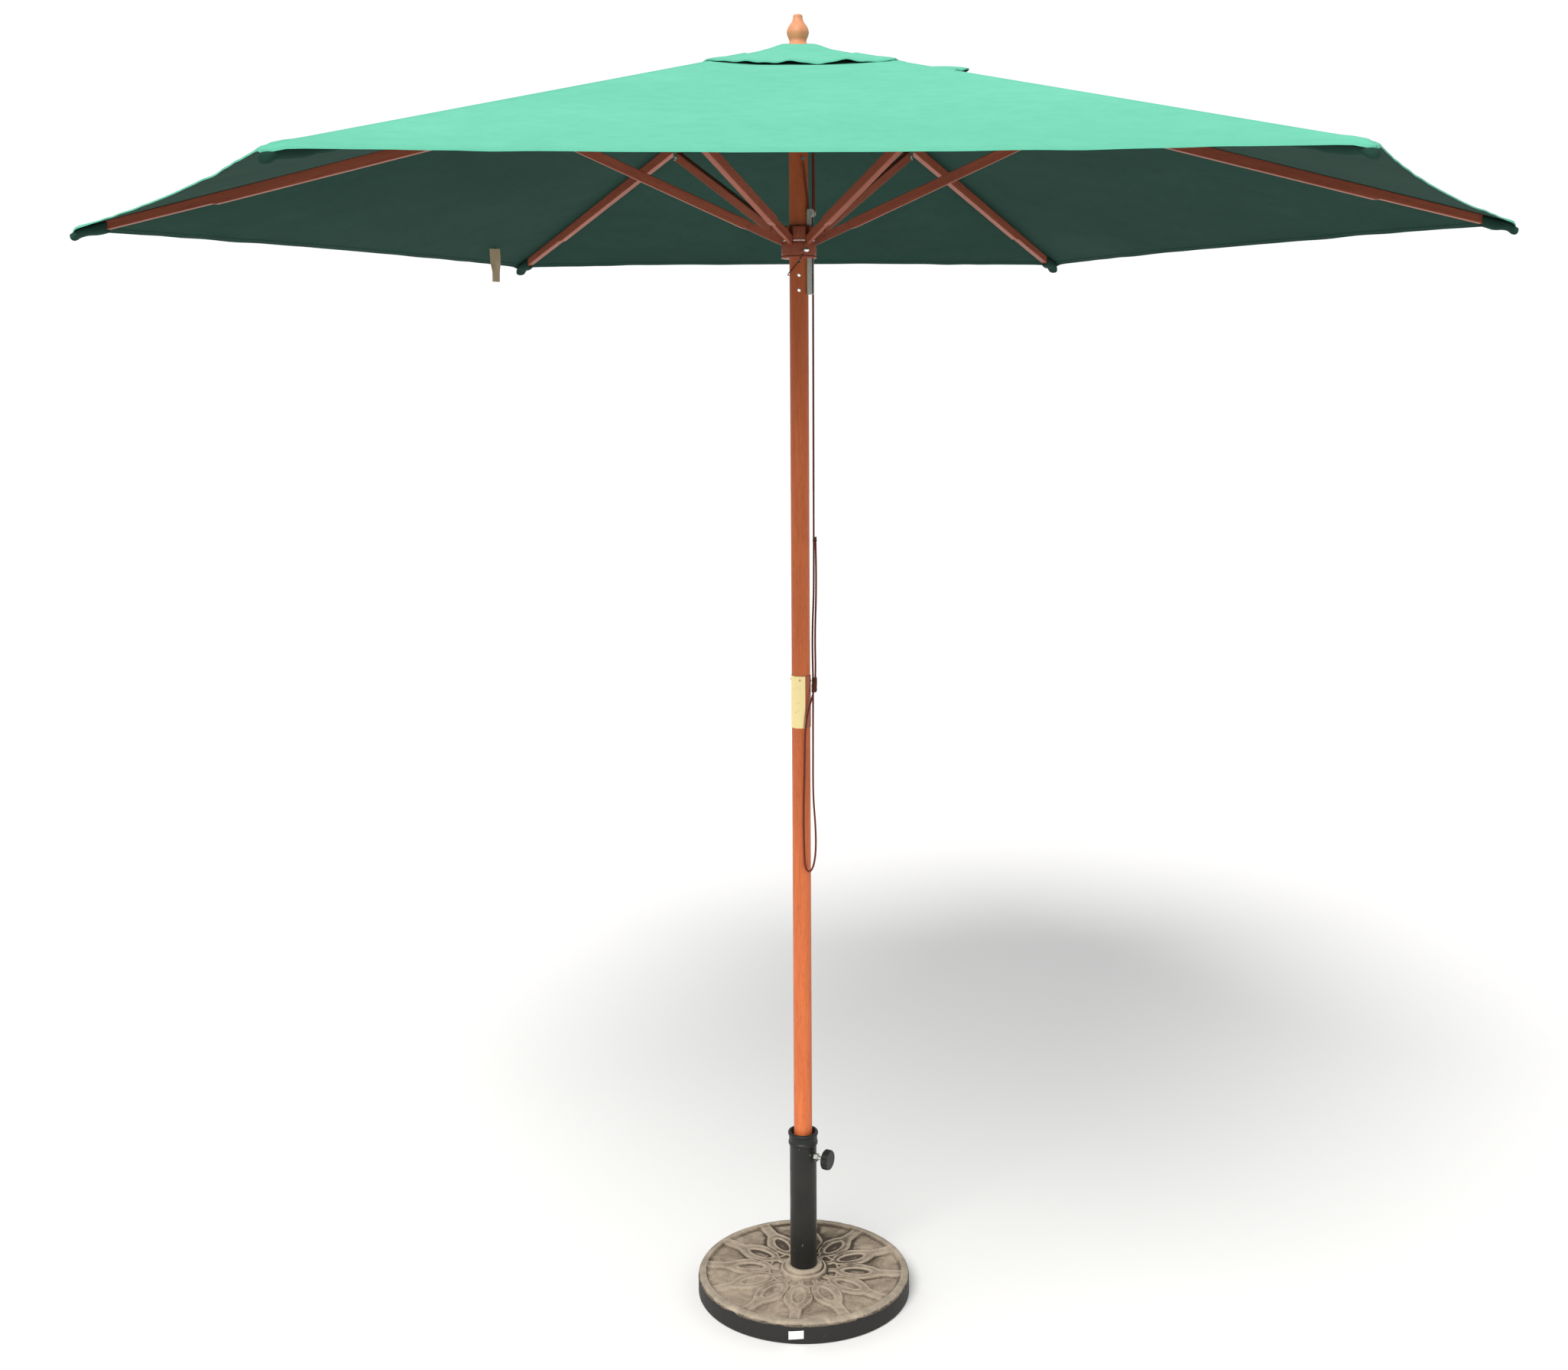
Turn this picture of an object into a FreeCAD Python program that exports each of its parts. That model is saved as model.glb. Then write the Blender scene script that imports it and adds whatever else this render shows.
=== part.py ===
import FreeCAD, Part
import Sketcher
import math, os

# Centre-pole umbrella with a wooden six-rib frame, hoisted by a cord and two
# pulleys, standing in a cast disc base.  Millimetres, +Z up, origin at the
# centre of the base's underside.  Rib 1 points along +X, the others follow
# every 60 degrees, counter-clockwise seen from above.

V = FreeCAD.Vector
R = FreeCAD.Rotation
doc = FreeCAD.newDocument("umbrella")
sheet = doc.addObject("Spreadsheet::Sheet", "Dims")

DRIVING = [
    # stand
    ("base_radius", 222.0), ("base_rim_top", 45.0), ("base_field_top", 41.0), ("base_boss_radius", 47.0),
    ("base_boss_top", 54.0), ("tube_radius", 28.0), ("tube_bore", 25.3), ("tube_bottom", 30.0), ("tube_floor", 36.0),
    ("tube_top", 326.0), ("collar_radius", 30.6), ("collar_bottom", 316.0), ("collar_top", 344.0),
    ("clamp_height", 292.0), ("clamp_angle", -30.0), ("screw_radius", 4.0), ("screw_pitch", 1.25),
    ("knob_reach", 50.0), ("knob_radius", 20.5), ("knob_depth", 15.0),
    # pole
    ("pole_radius", 19.0), ("pole_low", 44.0), ("pole_split", 1255.0), ("pole_top", 2562.0),
    ("ferrule_bottom", 1201.0), ("ferrule_top", 1309.0), ("ferrule_radius", 20.3),
    ("hole_radius", 3.5), ("hole_one", 2147.0), ("hole_two", 2120.0), ("hole_three", 2090.0),
    # crown and finial
    ("crown_bottom", 2528.0), ("crown_height", 40.0), ("crown_radius", 44.0), ("crown_slot", 15.0),
    ("crown_slot_inner", 22.0), ("crown_slot_height", 36.4), ("wire_radius", 1.25),
    ("crown_pivot_r", 33.5), ("crown_pivot_z", 2553.0), ("finial_bottom", 2570.0), ("finial_height", 63.0),
    # ribs and struts
    ("rib_slope", 13.8), ("rib_width", 14.0), ("rib_depth", 22.0), ("rib_end_r", 1392.0), ("rib_step", 1160.0),
    ("strut_pivot_r", 516.0), ("strut_pivot_z", 2410.0), ("runner_pivot_r", 33.5), ("runner_pivot_z", 2188.0),
    ("strut_width", 14.0), ("strut_depth", 20.0), ("tongue_width", 8.0), ("tongue_depth", 16.0), ("tongue_length", 75.0),
    # runner
    ("runner_bottom", 2153.0), ("runner_height", 64.0), ("drum_height", 30.0), ("drum_radius", 35.5),
    ("segment_radius", 33.8), ("runner_bore", 20.3), ("runner_slot", 9.0), ("runner_slot_inner", 24.0),
    # hoist
    ("cord_diameter", 4.0), ("sheave_pitch", 7.0), ("sheave_flange", 8.6), ("runner_sheave_r", 28.6),
    ("runner_sheave_z", 2242.0), ("strap_top", 2256.0), ("strap_bottom", 2081.0), ("strap_inner", 21.4), ("strap_outer", 31.3),
    ("top_sheave_x", 29.5), ("top_sheave_y", 18.5), ("top_sheave_z", 2475.0), ("anchor_z", 2349.0), ("anchor_angle", 290.0),
    ("pin_angle", 280.0), ("pin_z", 2166.0), ("pin_ball_reach", 77.0),
    # cloth
    ("cloth", 1.2), ("tip_radius", 1450.0), ("edge_hollow", 45.0), ("vent_corner", 230.0),
    ("cap_corner", 345.0), ("cap_top", 2569.4),
]


class Q:
    """A number of the sheet together with the expression that names it."""
    def __init__(self, v, s):
        self.v = float(v)
        self.s = s

    def _mix(self, o, sign, f):
        if isinstance(o, Q):
            return Q(f(self.v, o.v), "(%s %s %s)" % (self.s, sign, o.s))
        return Q(f(self.v, float(o)), "(%s %s %.6f)" % (self.s, sign, float(o)))

    def __add__(self, o):
        return self._mix(o, "+", lambda a, b: a + b)

    def __sub__(self, o):
        return self._mix(o, "-", lambda a, b: a - b)

    def __mul__(self, o):
        return self._mix(o, "*", lambda a, b: a * b)

    def __truediv__(self, o):
        return self._mix(o, "/", lambda a, b: a / b)

    def __neg__(self):
        return self * -1.0


class Dims:
    pass


D = Dims()
row = 0
for name, value in DRIVING:
    row += 1
    cell = "A%d" % row
    sheet.set(cell, repr(value))
    sheet.setAlias(cell, name)
    setattr(D, name, Q(value, "Dims." + name))
doc.recompute()


def num(q):
    return q.v if isinstance(q, Q) else float(q)


def bind(obj, prop, q):
    if isinstance(q, Q):
        obj.setExpression(prop, q.s)
    else:
        obj.setExpression(prop, "%.6f" % float(q))


def new_body(label):
    b = doc.addObject("PartDesign::Body", label)
    b.Label = label
    return b


def new_sketch(b, name, role):
    s = b.newObject("Sketcher::SketchObject", name)
    plane = [f for f in b.Origin.OriginFeatures if f.Role == role][0]
    s.AttachmentSupport = (plane, [""])
    s.MapMode = "FlatFace"
    return s


def place_point(s, geo, pos, x, y):
    """Dimension one point of a sketch from the origin."""
    for kind, q in (("DistanceX", x), ("DistanceY", y)):
        k = s.addConstraint(Sketcher.Constraint(kind, -1, 1, geo, pos, num(q)))
        if isinstance(q, Q):
            s.setExpression("Constraints[%d]" % k, q.s)


def outline(s, pts):
    """Closed outline of straight lines, every corner dimensioned."""
    first = s.GeometryCount
    n = len(pts)
    for i in range(n):
        a, b = pts[i], pts[(i + 1) % n]
        s.addGeometry(Part.LineSegment(V(num(a[0]), num(a[1]), 0), V(num(b[0]), num(b[1]), 0)), False)
    for i in range(n):
        s.addConstraint(Sketcher.Constraint("Coincident", first + i, 2, first + (i + 1) % n, 1))
    for i in range(n):
        place_point(s, first + i, 1, pts[i][0], pts[i][1])


def ring(s, x, y, r):
    """Circle with its centre and radius dimensioned."""
    g = s.addGeometry(Part.Circle(V(num(x), num(y), 0), V(0, 0, 1), num(r)), False)
    k = s.addConstraint(Sketcher.Constraint("Radius", g, num(r)))
    if isinstance(r, Q):
        s.setExpression("Constraints[%d]" % k, r.s)
    place_point(s, g, 3, x, y)


def revolve(b, pts, name=None):
    s = new_sketch(b, (name or b.Label) + "_section", "XZ_Plane")
    outline(s, pts)
    f = b.newObject("PartDesign::Revolution", (name or b.Label) + "_turned")
    f.Profile = s
    f.ReferenceAxis = (s, ["V_Axis"])
    f.Angle = 360
    doc.recompute()
    return f


def pad(b, sk, length, symmetric=False, name="pad"):
    f = b.newObject("PartDesign::Pad", b.Label + "_" + name)
    f.Profile = sk
    bind(f, "Length", length)
    if symmetric:
        f.SideType = "Symmetric"
    doc.recompute()
    return f


def pocket(b, sk, length=None, symmetric=False, flip=False, name="pocket"):
    before = b.Shape.Volume
    f = b.newObject("PartDesign::Pocket", b.Label + "_" + name)
    f.Profile = sk
    if length is None:
        f.Type = "ThroughAll"
    else:
        bind(f, "Length", length)
    if symmetric:
        f.SideType = "Symmetric"
    f.Reversed = flip
    doc.recompute()
    if not b.Shape.Volume < before - 1e-3:
        raise RuntimeError(b.Label + ": the pocket " + name + " cuts nothing")
    return f


def around(b, feature, count, name="pattern"):
    before = b.Shape.Volume
    f = b.newObject("PartDesign::PolarPattern", b.Label + "_" + name)
    f.Originals = [feature]
    axis = [o for o in b.Origin.OriginFeatures if o.Role == "Z_Axis"][0]
    f.Axis = (axis, [""])
    f.Angle = 360
    f.Occurrences = count
    b.Tip = f
    doc.recompute()
    if abs(b.Shape.Volume - before) < 1e-3:
        raise RuntimeError(b.Label + ": the pattern changes nothing")
    return f


def soften(b, base, radius, keep, name="edges"):
    names = ["Edge%d" % (i + 1) for i, e in enumerate(base.Shape.Edges) if keep(e)]
    f = b.newObject("PartDesign::Fillet", b.Label + "_" + name)
    f.Base = (base, names)
    f.Radius = radius
    doc.recompute()
    return f


def turn(az, tilt=0.0):
    return R(V(0, 0, 1), az).multiply(R(V(0, 1, 0), tilt))


def cylinder(name, r, h, pos, rot=None):
    c = doc.addObject("Part::Cylinder", name)
    bind(c, "Radius", r)
    bind(c, "Height", h)
    c.Placement = FreeCAD.Placement(pos, rot or R())
    return c


def box(name, lx, ly, lz, pos, rot=None):
    c = doc.addObject("Part::Box", name)
    bind(c, "Length", lx)
    bind(c, "Width", ly)
    bind(c, "Height", lz)
    rot = rot or R()
    c.Placement = FreeCAD.Placement(pos + rot.multVec(V(-num(lx) / 2, -num(ly) / 2, -num(lz) / 2)), rot)
    return c


def fuse(name, parts):
    f = doc.addObject("Part::MultiFuse", name)
    f.Shapes = parts
    f.Label = name
    return f


def cut(name, a, b):
    f = doc.addObject("Part::Cut", name)
    f.Base = a
    f.Tool = b
    f.Label = name
    return f


def group(name, parts):
    f = doc.addObject("Part::Compound", name)
    f.Links = parts
    f.Label = name
    return f


NODES = []


def node(obj, label=None):
    if label:
        obj.Label = label
    NODES.append(obj)
    return obj


def polar(r, az, z):
    return V(r * math.cos(math.radians(az)), r * math.sin(math.radians(az)), z)


def raise_to(b, z):
    b.setExpression("Placement.Base.z", z.s if isinstance(z, Q) else "%.6f" % z)


# ------------------------------------------------------------------ stand
d = D
b = new_body("base_disc")
# cast disc: chamfered foot, upright edge, rounded rim, shallow field, raised boss with a socket for the tube
revolve(b, [(d.base_radius - 3, 0), (d.base_radius, 3), (d.base_radius, 33), (d.base_radius - 2, 39),
            (d.base_radius - 7, 43.4), (d.base_radius - 12, d.base_rim_top), (d.base_radius - 24, d.base_rim_top - 0.6),
            (d.base_radius - 27, d.base_field_top), (d.base_boss_radius + 4, d.base_field_top),
            (d.base_boss_radius, d.base_field_top + 5), (d.base_boss_radius - 7, d.base_field_top + 7),
            (d.base_boss_radius - 9, d.base_boss_top - 1), (d.base_boss_radius - 12, d.base_boss_top),
            (d.tube_radius + 0.1, d.base_boss_top), (d.tube_radius + 0.1, d.tube_bottom), (7.2, d.tube_bottom), (7.2, 12), (17, 12), (17, 0)])
# shallow recess of one petal's eye, repeated round the field
s = new_sketch(b, "base_disc_oval_section", "XZ_Plane")
outline(s, [(104, d.base_field_top - 2), (132, d.base_field_top - 2), (132, d.base_field_top + 4), (104, d.base_field_top + 4)])
p = b.newObject("PartDesign::Pocket", "base_disc_oval")
p.Profile = s
p.Length = 18
p.SideType = "Symmetric"
doc.recompute()
around(b, p, 12, "ovals")
node(b)

b = new_body("base_label")
s = new_sketch(b, "base_label_face", "XY_Plane")
outline(s, [(-15, 0), (15, 0), (15, 17), (-15, 17)])
pad(b, s, 0.4)
b.Placement = FreeCAD.Placement(polar(num(d.base_radius) + 0.75, 264.5, 11), R(V(0, 0, 1), 264.5 + 90).multiply(R(V(1, 0, 0), 90)))
node(b)

b = new_body("stand_tube")
revolve(b, [(6.1, d.tube_bottom), (d.tube_radius, d.tube_bottom), (d.tube_radius, d.tube_top), (d.tube_bore, d.tube_top),
            (d.tube_bore, d.tube_floor), (6.1, d.tube_floor)])
screw_dir = polar(1, num(d.clamp_angle), 0)
screw_rot = R(V(0, 0, 1), screw_dir)
drill = cylinder("tube_drill", d.screw_radius + 0.3, 40, V(screw_dir.x * 10, screw_dir.y * 10, num(d.clamp_height)), screw_rot)
node(cut("stand_tube_drilled", b, drill), "stand_tube_part")

b = new_body("tube_collar")
# cap round the tube's mouth with an inner shoulder that guides the pole
revolve(b, [(d.tube_radius + 0.1, d.collar_bottom), (d.collar_radius - 0.8, d.collar_bottom), (d.collar_radius, d.collar_bottom + 1.5),
            (d.collar_radius, d.collar_bottom + 6), (d.collar_radius - 1.2, d.collar_bottom + 8), (d.collar_radius - 1.2, d.collar_top - 9),
            (d.collar_radius + 0.6, d.collar_top - 7), (d.collar_radius + 1, d.collar_top - 3.5), (d.collar_radius, d.collar_top - 1),
            (d.collar_radius - 2.2, d.collar_top), (d.collar_radius - 4.6, d.collar_top - 1), (d.collar_radius - 5.6, d.collar_top - 4),
            (d.pole_radius + 1.2, d.tube_top + 5), (d.pole_radius + 0.8, d.tube_top + 3.5), (d.pole_radius + 0.8, d.tube_top),
            (d.tube_radius + 0.1, d.tube_top)])
node(b)

# bolt from below that clamps the tube down into the disc
head = doc.addObject("Part::Prism", "bolt_head")
head.Polygon = 6
head.Circumradius = 10.9
head.Height = 7.5
head.Placement = FreeCAD.Placement(V(0, 0, 4.5), R())
shank = cylinder("bolt_shank", 6.0, 24.3, V(0, 0, 11.5))
node(fuse("tube_bolt", [head, shank]))

nut = doc.addObject("Part::Prism", "boss_hex")
nut.Polygon = 6
nut.Circumradius = 8.2
nut.Height = 8.0
nut.Placement = FreeCAD.Placement(screw_dir * (num(d.tube_radius) + 0.05) + V(0, 0, num(d.clamp_height)), screw_rot)
nut_hole = cylinder("boss_thread", d.screw_radius + 0.05, 20, screw_dir * 24 + V(0, 0, num(d.clamp_height)), screw_rot)
nut_flat = cylinder("boss_seat", d.tube_radius + 0.02, 60, V(0, 0, num(d.clamp_height) - 30))
raw = cut("boss_bored", nut, nut_hole)
node(cut("clamp_boss", raw, nut_flat))

pad_disc = cylinder("pad_disc", 6.0, 1.9, screw_dir * (num(d.pole_radius) + 0.2) + V(0, 0, num(d.clamp_height)), screw_rot)
node(pad_disc, "clamp_pad")

screw = cylinder("screw_shank", d.screw_radius, d.knob_reach - 21.2 + 9, screw_dir * 21.2 + V(0, 0, num(d.clamp_height)), screw_rot)
collar = cylinder("screw_collar", 6.5, 2.4, screw_dir * (num(d.knob_reach) - 2.5) + V(0, 0, num(d.clamp_height)), screw_rot)
node(fuse("clamp_screw", [screw, collar]))

b = new_body("clamp_knob")
s = new_sketch(b, "clamp_knob_round", "XY_Plane")
ring(s, 0, 0, d.knob_radius)
base = pad(b, s, d.knob_depth)
base = soften(b, base, 3.5, lambda e: e.Length > 60 and abs(e.BoundBox.ZLength) < 1e-6)
s = new_sketch(b, "clamp_knob_flute", "XY_Plane")
ring(s, d.knob_radius + 3.2, 0, 5.6)
p = pocket(b, s, None, False, True, "flute")
around(b, p, 7, "flutes")
s = new_sketch(b, "clamp_knob_bore", "XY_Plane")
ring(s, 0, 0, d.screw_radius + 0.05)
pocket(b, s, 9.4, False, True, "bore")
b.Placement = FreeCAD.Placement(screw_dir * num(d.knob_reach) + V(0, 0, num(d.clamp_height)), screw_rot)
node(b)

# ------------------------------------------------------------------ pole
b = new_body("pole_foot")
# thrust foot under the pole: flange on the tube's floor and a centring spigot
revolve(b, [(0, d.tube_floor), (22, d.tube_floor), (24, d.tube_floor + 2), (24, d.pole_low - 2), (22, d.pole_low - 0.2),
            (7, d.pole_low - 0.2), (7, d.pole_low + 20), (5.5, d.pole_low + 22), (0, d.pole_low + 22)])
node(b)

b = new_body("lower_pole")
s = new_sketch(b, "lower_pole_round", "XY_Plane")
ring(s, 0, 0, d.pole_radius)
base = pad(b, s, d.pole_split - d.pole_low)
s = new_sketch(b, "lower_pole_socket", "XY_Plane")
ring(s, 0, 0, 7.1)
pocket(b, s, 24, False, True, "socket")
raise_to(b, d.pole_low)
node(b)

b = new_body("upper_pole")
s = new_sketch(b, "upper_pole_round", "XY_Plane")
ring(s, 0, 0, d.pole_radius)
base = pad(b, s, d.pole_top - d.pole_split - 0.3)
s = new_sketch(b, "upper_pole_pin_holes", "XZ_Plane")
for q in (d.hole_one, d.hole_two, d.hole_three):
    ring(s, 0, q - d.pole_split - 0.3, d.hole_radius)
pocket(b, s, 60, True, False, "pin_holes")
s = new_sketch(b, "upper_pole_stud", "XZ_Plane")
outline(s, [(0, d.pole_top - d.pole_split - 20), (5.1, d.pole_top - d.pole_split - 20), (5.1, d.pole_top - d.pole_split + 2), (0, d.pole_top - d.pole_split + 2)])
g = b.newObject("PartDesign::Groove", "upper_pole_stud_hole")
g.Profile = s
g.ReferenceAxis = (s, ["V_Axis"])
g.Angle = 360
doc.recompute()
raise_to(b, d.pole_split + 0.3)
anchor_rot = R(V(0, 0, 1), polar(1, num(d.anchor_angle), 0))
pilot = cylinder("anchor_pilot", 1.6, 16, polar(num(d.pole_radius) - 13, num(d.anchor_angle), num(d.anchor_z)), anchor_rot)
nail_holes = []
for i, az in enumerate((262, 82, 172, 352)):
    nail_holes.append(cylinder("nail_pilot_%d" % i, 1.1, 16, polar(num(d.pole_radius) - 9, az, num(d.ferrule_top) - 9 - 3 * (i % 2)), R(V(0, 0, 1), polar(1, az, 0))))
drills = fuse("pole_drills", [pilot] + nail_holes)
node(cut("upper_pole_drilled", b, drills), "upper_pole_part")

b = new_body("pole_ferrule")
revolve(b, [(d.pole_radius + 0.1, d.ferrule_bottom), (d.ferrule_radius - 0.5, d.ferrule_bottom), (d.ferrule_radius, d.ferrule_bottom + 0.8),
            (d.ferrule_radius, d.ferrule_top - 0.8), (d.ferrule_radius - 0.5, d.ferrule_top), (d.pole_radius + 0.1, d.ferrule_top)])
tools = []
for i, az in enumerate((262, 82, 172, 352)):
    tools.append(cylinder("ferrule_drill_%d" % i, 1.1, 16, polar(num(d.pole_radius) - 9, az, num(d.ferrule_top) - 9 - 3 * (i % 2)), R(V(0, 0, 1), polar(1, az, 0))))
node(cut("pole_ferrule_drilled", b, fuse("ferrule_drills", tools)), "pole_ferrule_part")

nails = []
for i, az in enumerate((262, 82, 172, 352)):
    rot = R(V(0, 0, 1), polar(1, az, 0))
    z = num(d.ferrule_top) - 9 - 3 * (i % 2)
    shank = cylinder("nail_shank_%d" % i, 1.0, 9.2, polar(num(d.ferrule_radius) - 9, az, z), rot)
    hd = cylinder("nail_head_%d" % i, 2.2, 0.8, polar(num(d.ferrule_radius) + 0.12, az, z), rot)
    nails.append(fuse("nail_%d" % i, [shank, hd]))
node(group("ferrule_nails", nails))

# ------------------------------------------------------------------ crown
b = new_body("crown_hub")
hh = d.crown_height
revolve(b, [(5.2, hh - 5.8), (5.2, hh), (d.crown_radius - 4, hh), (d.crown_radius - 1, hh - 2), (d.crown_radius, hh - 5),
            (d.crown_radius, 5), (d.crown_radius - 1, 2), (d.crown_radius - 4, 0), (d.pole_radius + 0.1, 0), (d.pole_radius + 0.1, hh - 5.8)])
s = new_sketch(b, "crown_slot_plan", "XY_Plane")
outline(s, [(d.crown_slot_inner, -(d.crown_slot / 2)), (60, -(d.crown_slot / 2)), (60, d.crown_slot / 2), (d.crown_slot_inner, d.crown_slot / 2)])
p = pocket(b, s, d.crown_slot_height, False, True, "slot")
around(b, p, 6, "slots")
s = new_sketch(b, "crown_wire_section", "XZ_Plane")
ring(s, d.crown_pivot_r, d.crown_pivot_z - d.crown_bottom, d.wire_radius + 0.06)
g = b.newObject("PartDesign::Groove", "crown_wire_way")
g.Profile = s
g.ReferenceAxis = (s, ["V_Axis"])
g.Angle = 360
doc.recompute()
raise_to(b, d.crown_bottom)
node(b)

wire = doc.addObject("Part::Torus", "crown_wire_ring")
bind(wire, "Radius1", d.crown_pivot_r)
bind(wire, "Radius2", d.wire_radius)
wire.Placement = FreeCAD.Placement(V(0, 0, num(d.crown_pivot_z)), R())
node(wire, "crown_wire")

b = new_body("finial")
# turned knob: collar, waist, ball, shoulder and short top button, with a dowel below
fh = d.finial_height
revolve(b, [(0, -24), (5, -24), (5, 0), (22.6, 0), (22.8, 1.2), (21.4, 3.4), (19.2, 5.4), (17.2, 8.0), (16.8, 10.6), (17.4, 13.4), (19.0, 17.0),
            (20.7, 21.2), (21.8, 25.4), (22.0, 28.2), (21.4, 32.0), (20.0, 36.0), (17.8, 40.2), (14.6, 44.6), (11.8, 48.6), (10.2, 52.6),
            (9.5, 56.4), (9.3, 59.8), (8.2, fh - 1.0), (6.0, fh), (0, fh)])
raise_to(b, d.finial_bottom)
node(b)

# ------------------------------------------------------------------ ribs, struts, clevises
slope = math.radians(num(d.rib_slope))
cp = (num(d.crown_pivot_r), num(d.crown_pivot_z))
sp = (num(d.strut_pivot_r), num(d.strut_pivot_z))
rp = (num(d.runner_pivot_r), num(d.runner_pivot_z))
dx, dz = sp[0] - cp[0], sp[1] - cp[1]
u_b = dx * math.cos(slope) - dz * math.sin(slope)
v_b = dx * math.sin(slope) + dz * math.cos(slope)
rib_length = (num(d.rib_end_r) - cp[0]) / math.cos(slope)
strut_length = math.hypot(sp[0] - rp[0], sp[1] - rp[1])
strut_angle = math.degrees(math.atan2(sp[1] - rp[1], sp[0] - rp[0]))
hd = num(d.rib_depth) / 2
for i in range(6):
    az = 60.0 * i
    n = i + 1
    b = new_body("rib_%d" % n)
    s = new_sketch(b, "rib_%d_side" % n, "XZ_Plane")
    arc_pts = [(hd * math.cos(math.radians(a)), hd * math.sin(math.radians(a))) for a in (120, 150, 180, 210, 240)]
    L = rib_length
    outline(s, [(0, hd)] + arc_pts + [(0, -hd), (num(d.rib_step), -hd), (num(d.rib_step) + 9, -hd + 3.2), (L - 8, -hd + 4.4), (L - 1.5, -hd + 8.5), (L, hd - 7), (L - 1.5, hd - 1.5), (L - 5, hd)])
    base = pad(b, s, d.rib_width, True)
    base = soften(b, base, 1.6, lambda e: e.Length > 150)
    s = new_sketch(b, "rib_%d_holes" % n, "XZ_Plane")
    ring(s, 0, 0, d.wire_radius + 0.95)
    ring(s, u_b, 0, 2.1)
    pocket(b, s, 40, True, False, "holes")
    b.Placement = FreeCAD.Placement(polar(cp[0], az, cp[1]), turn(az, num(d.rib_slope)))
    node(b)
for i in range(6):
    az = 60.0 * i
    n = i + 1
    b = new_body("strut_%d" % n)
    L = strut_length
    h1, h2, t = num(d.strut_depth) / 2, num(d.tongue_depth) / 2, num(d.tongue_length)
    s = new_sketch(b, "strut_%d_bar" % n, "XZ_Plane")
    far = [(L + h1 * math.cos(math.radians(a)), h1 * math.sin(math.radians(a))) for a in (-60, -30, 0, 30, 60)]
    outline(s, [(t, -h2), (t + 14, -h1), (L, -h1)] + far + [(L, h1), (t + 14, h1), (t, h2)])
    base = pad(b, s, d.strut_width, True)
    base = soften(b, base, 1.6, lambda e: e.Length > 150)
    s = new_sketch(b, "strut_%d_tongue" % n, "XZ_Plane")
    near = [(h2 * math.cos(math.radians(a)), h2 * math.sin(math.radians(a))) for a in (120, 150, 180, 210, 240)]
    outline(s, [(t + 6, h2), (0, h2)] + near + [(0, -h2), (t + 6, -h2)])
    pad(b, s, d.tongue_width, True, "tongue")
    s = new_sketch(b, "strut_%d_holes" % n, "XZ_Plane")
    ring(s, 0, 0, 2.0)
    ring(s, L, 0, 2.6)
    pocket(b, s, 40, True, False, "holes")
    b.Placement = FreeCAD.Placement(polar(rp[0], az, rp[1]), turn(az, -strut_angle))
    node(b)
for i in range(6):
    az = 60.0 * i
    n = i + 1
    frame_rot = turn(az, num(d.rib_slope))
    origin = polar(cp[0], az, cp[1])

    def at(u, t, v):
        return origin + frame_rot.multVec(V(u, t, v))
    across = frame_rot.multiply(R(V(1, 0, 0), -90))
    half = num(d.rib_width) / 2 + 0.2
    parts = [box("cheek_%d_%d" % (n, k), 15, 1.5, 34, at(u_b, k * (half + 0.75), -13.8), frame_rot) for k in (-1, 1)]
    parts.append(cylinder("rivet_%d" % n, 2.0, 2 * (half + 2.6), at(u_b, -(half + 2.6), 0), across))
    parts.append(cylinder("pin_%d" % n, 2.5, 2 * (half + 3.0), at(u_b, -(half + 3.0), v_b), across))
    for k in (-1, 1):
        parts.append(cylinder("rivet_head_%d_%d" % (n, k), 4.0, 1.4, at(u_b, k * (half + 2.2) - 0.7, 0), across))
        parts.append(cylinder("pin_head_%d_%d" % (n, k), 4.6, 1.6, at(u_b, k * (half + 2.3) - 0.8, v_b), across))
    node(fuse("strut_clevis_%d" % n, parts))

# ------------------------------------------------------------------ runner
b = new_body("runner_hub")
rr = d.runner_bore
revolve(b, [(rr, 0), (d.drum_radius - 0.8, 0), (d.drum_radius + 0.3, 1.2), (d.drum_radius + 0.3, 3.2), (d.drum_radius - 1.4, 4.6), (d.drum_radius - 1.4, 6.6),
            (d.drum_radius, 8), (d.drum_radius, d.drum_height - 2), (d.drum_radius - 1.2, d.drum_height), (d.segment_radius, d.drum_height),
            (d.segment_radius, d.runner_height - 4), (d.segment_radius - 1.2, d.runner_height - 1.2), (d.segment_radius - 4, d.runner_height), (rr, d.runner_height)])
s = new_sketch(b, "runner_slot_plan", "XY_Plane")
outline(s, [(d.runner_slot_inner, -(d.runner_slot / 2)), (60, -(d.runner_slot / 2)), (60, d.runner_slot / 2), (d.runner_slot_inner, d.runner_slot / 2)])
p = pocket(b, s, None, False, True, "slot")
around(b, p, 6, "slots")
s = new_sketch(b, "runner_wire_section", "XZ_Plane")
ring(s, d.segment_radius - 0.7, d.runner_pivot_z - d.runner_bottom, d.wire_radius)
g = b.newObject("PartDesign::Groove", "runner_wire_way")
g.Profile = s
g.ReferenceAxis = (s, ["V_Axis"])
g.Angle = 360
doc.recompute()
raise_to(b, d.runner_bottom)
sector = 330.0
mid_r = (num(d.strap_inner) + num(d.strap_outer)) / 2
strap_way = box("strap_way", d.strap_outer - d.strap_inner + 2.2, 10.6, 90, polar(mid_r - 0.9, sector, num(d.runner_bottom) + 32), R(V(0, 0, 1), sector))
pin_dir = polar(1, num(d.pin_angle), 0)
pin_rot = R(V(0, 0, 1), pin_dir)
pin_way = cylinder("pin_way", 2.6, 30, pin_dir * 15 + V(0, 0, num(d.pin_z)), pin_rot)
node(cut("runner_hub_cut", b, fuse("runner_ways", [strap_way, pin_way])), "runner_hub_part")

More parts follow.
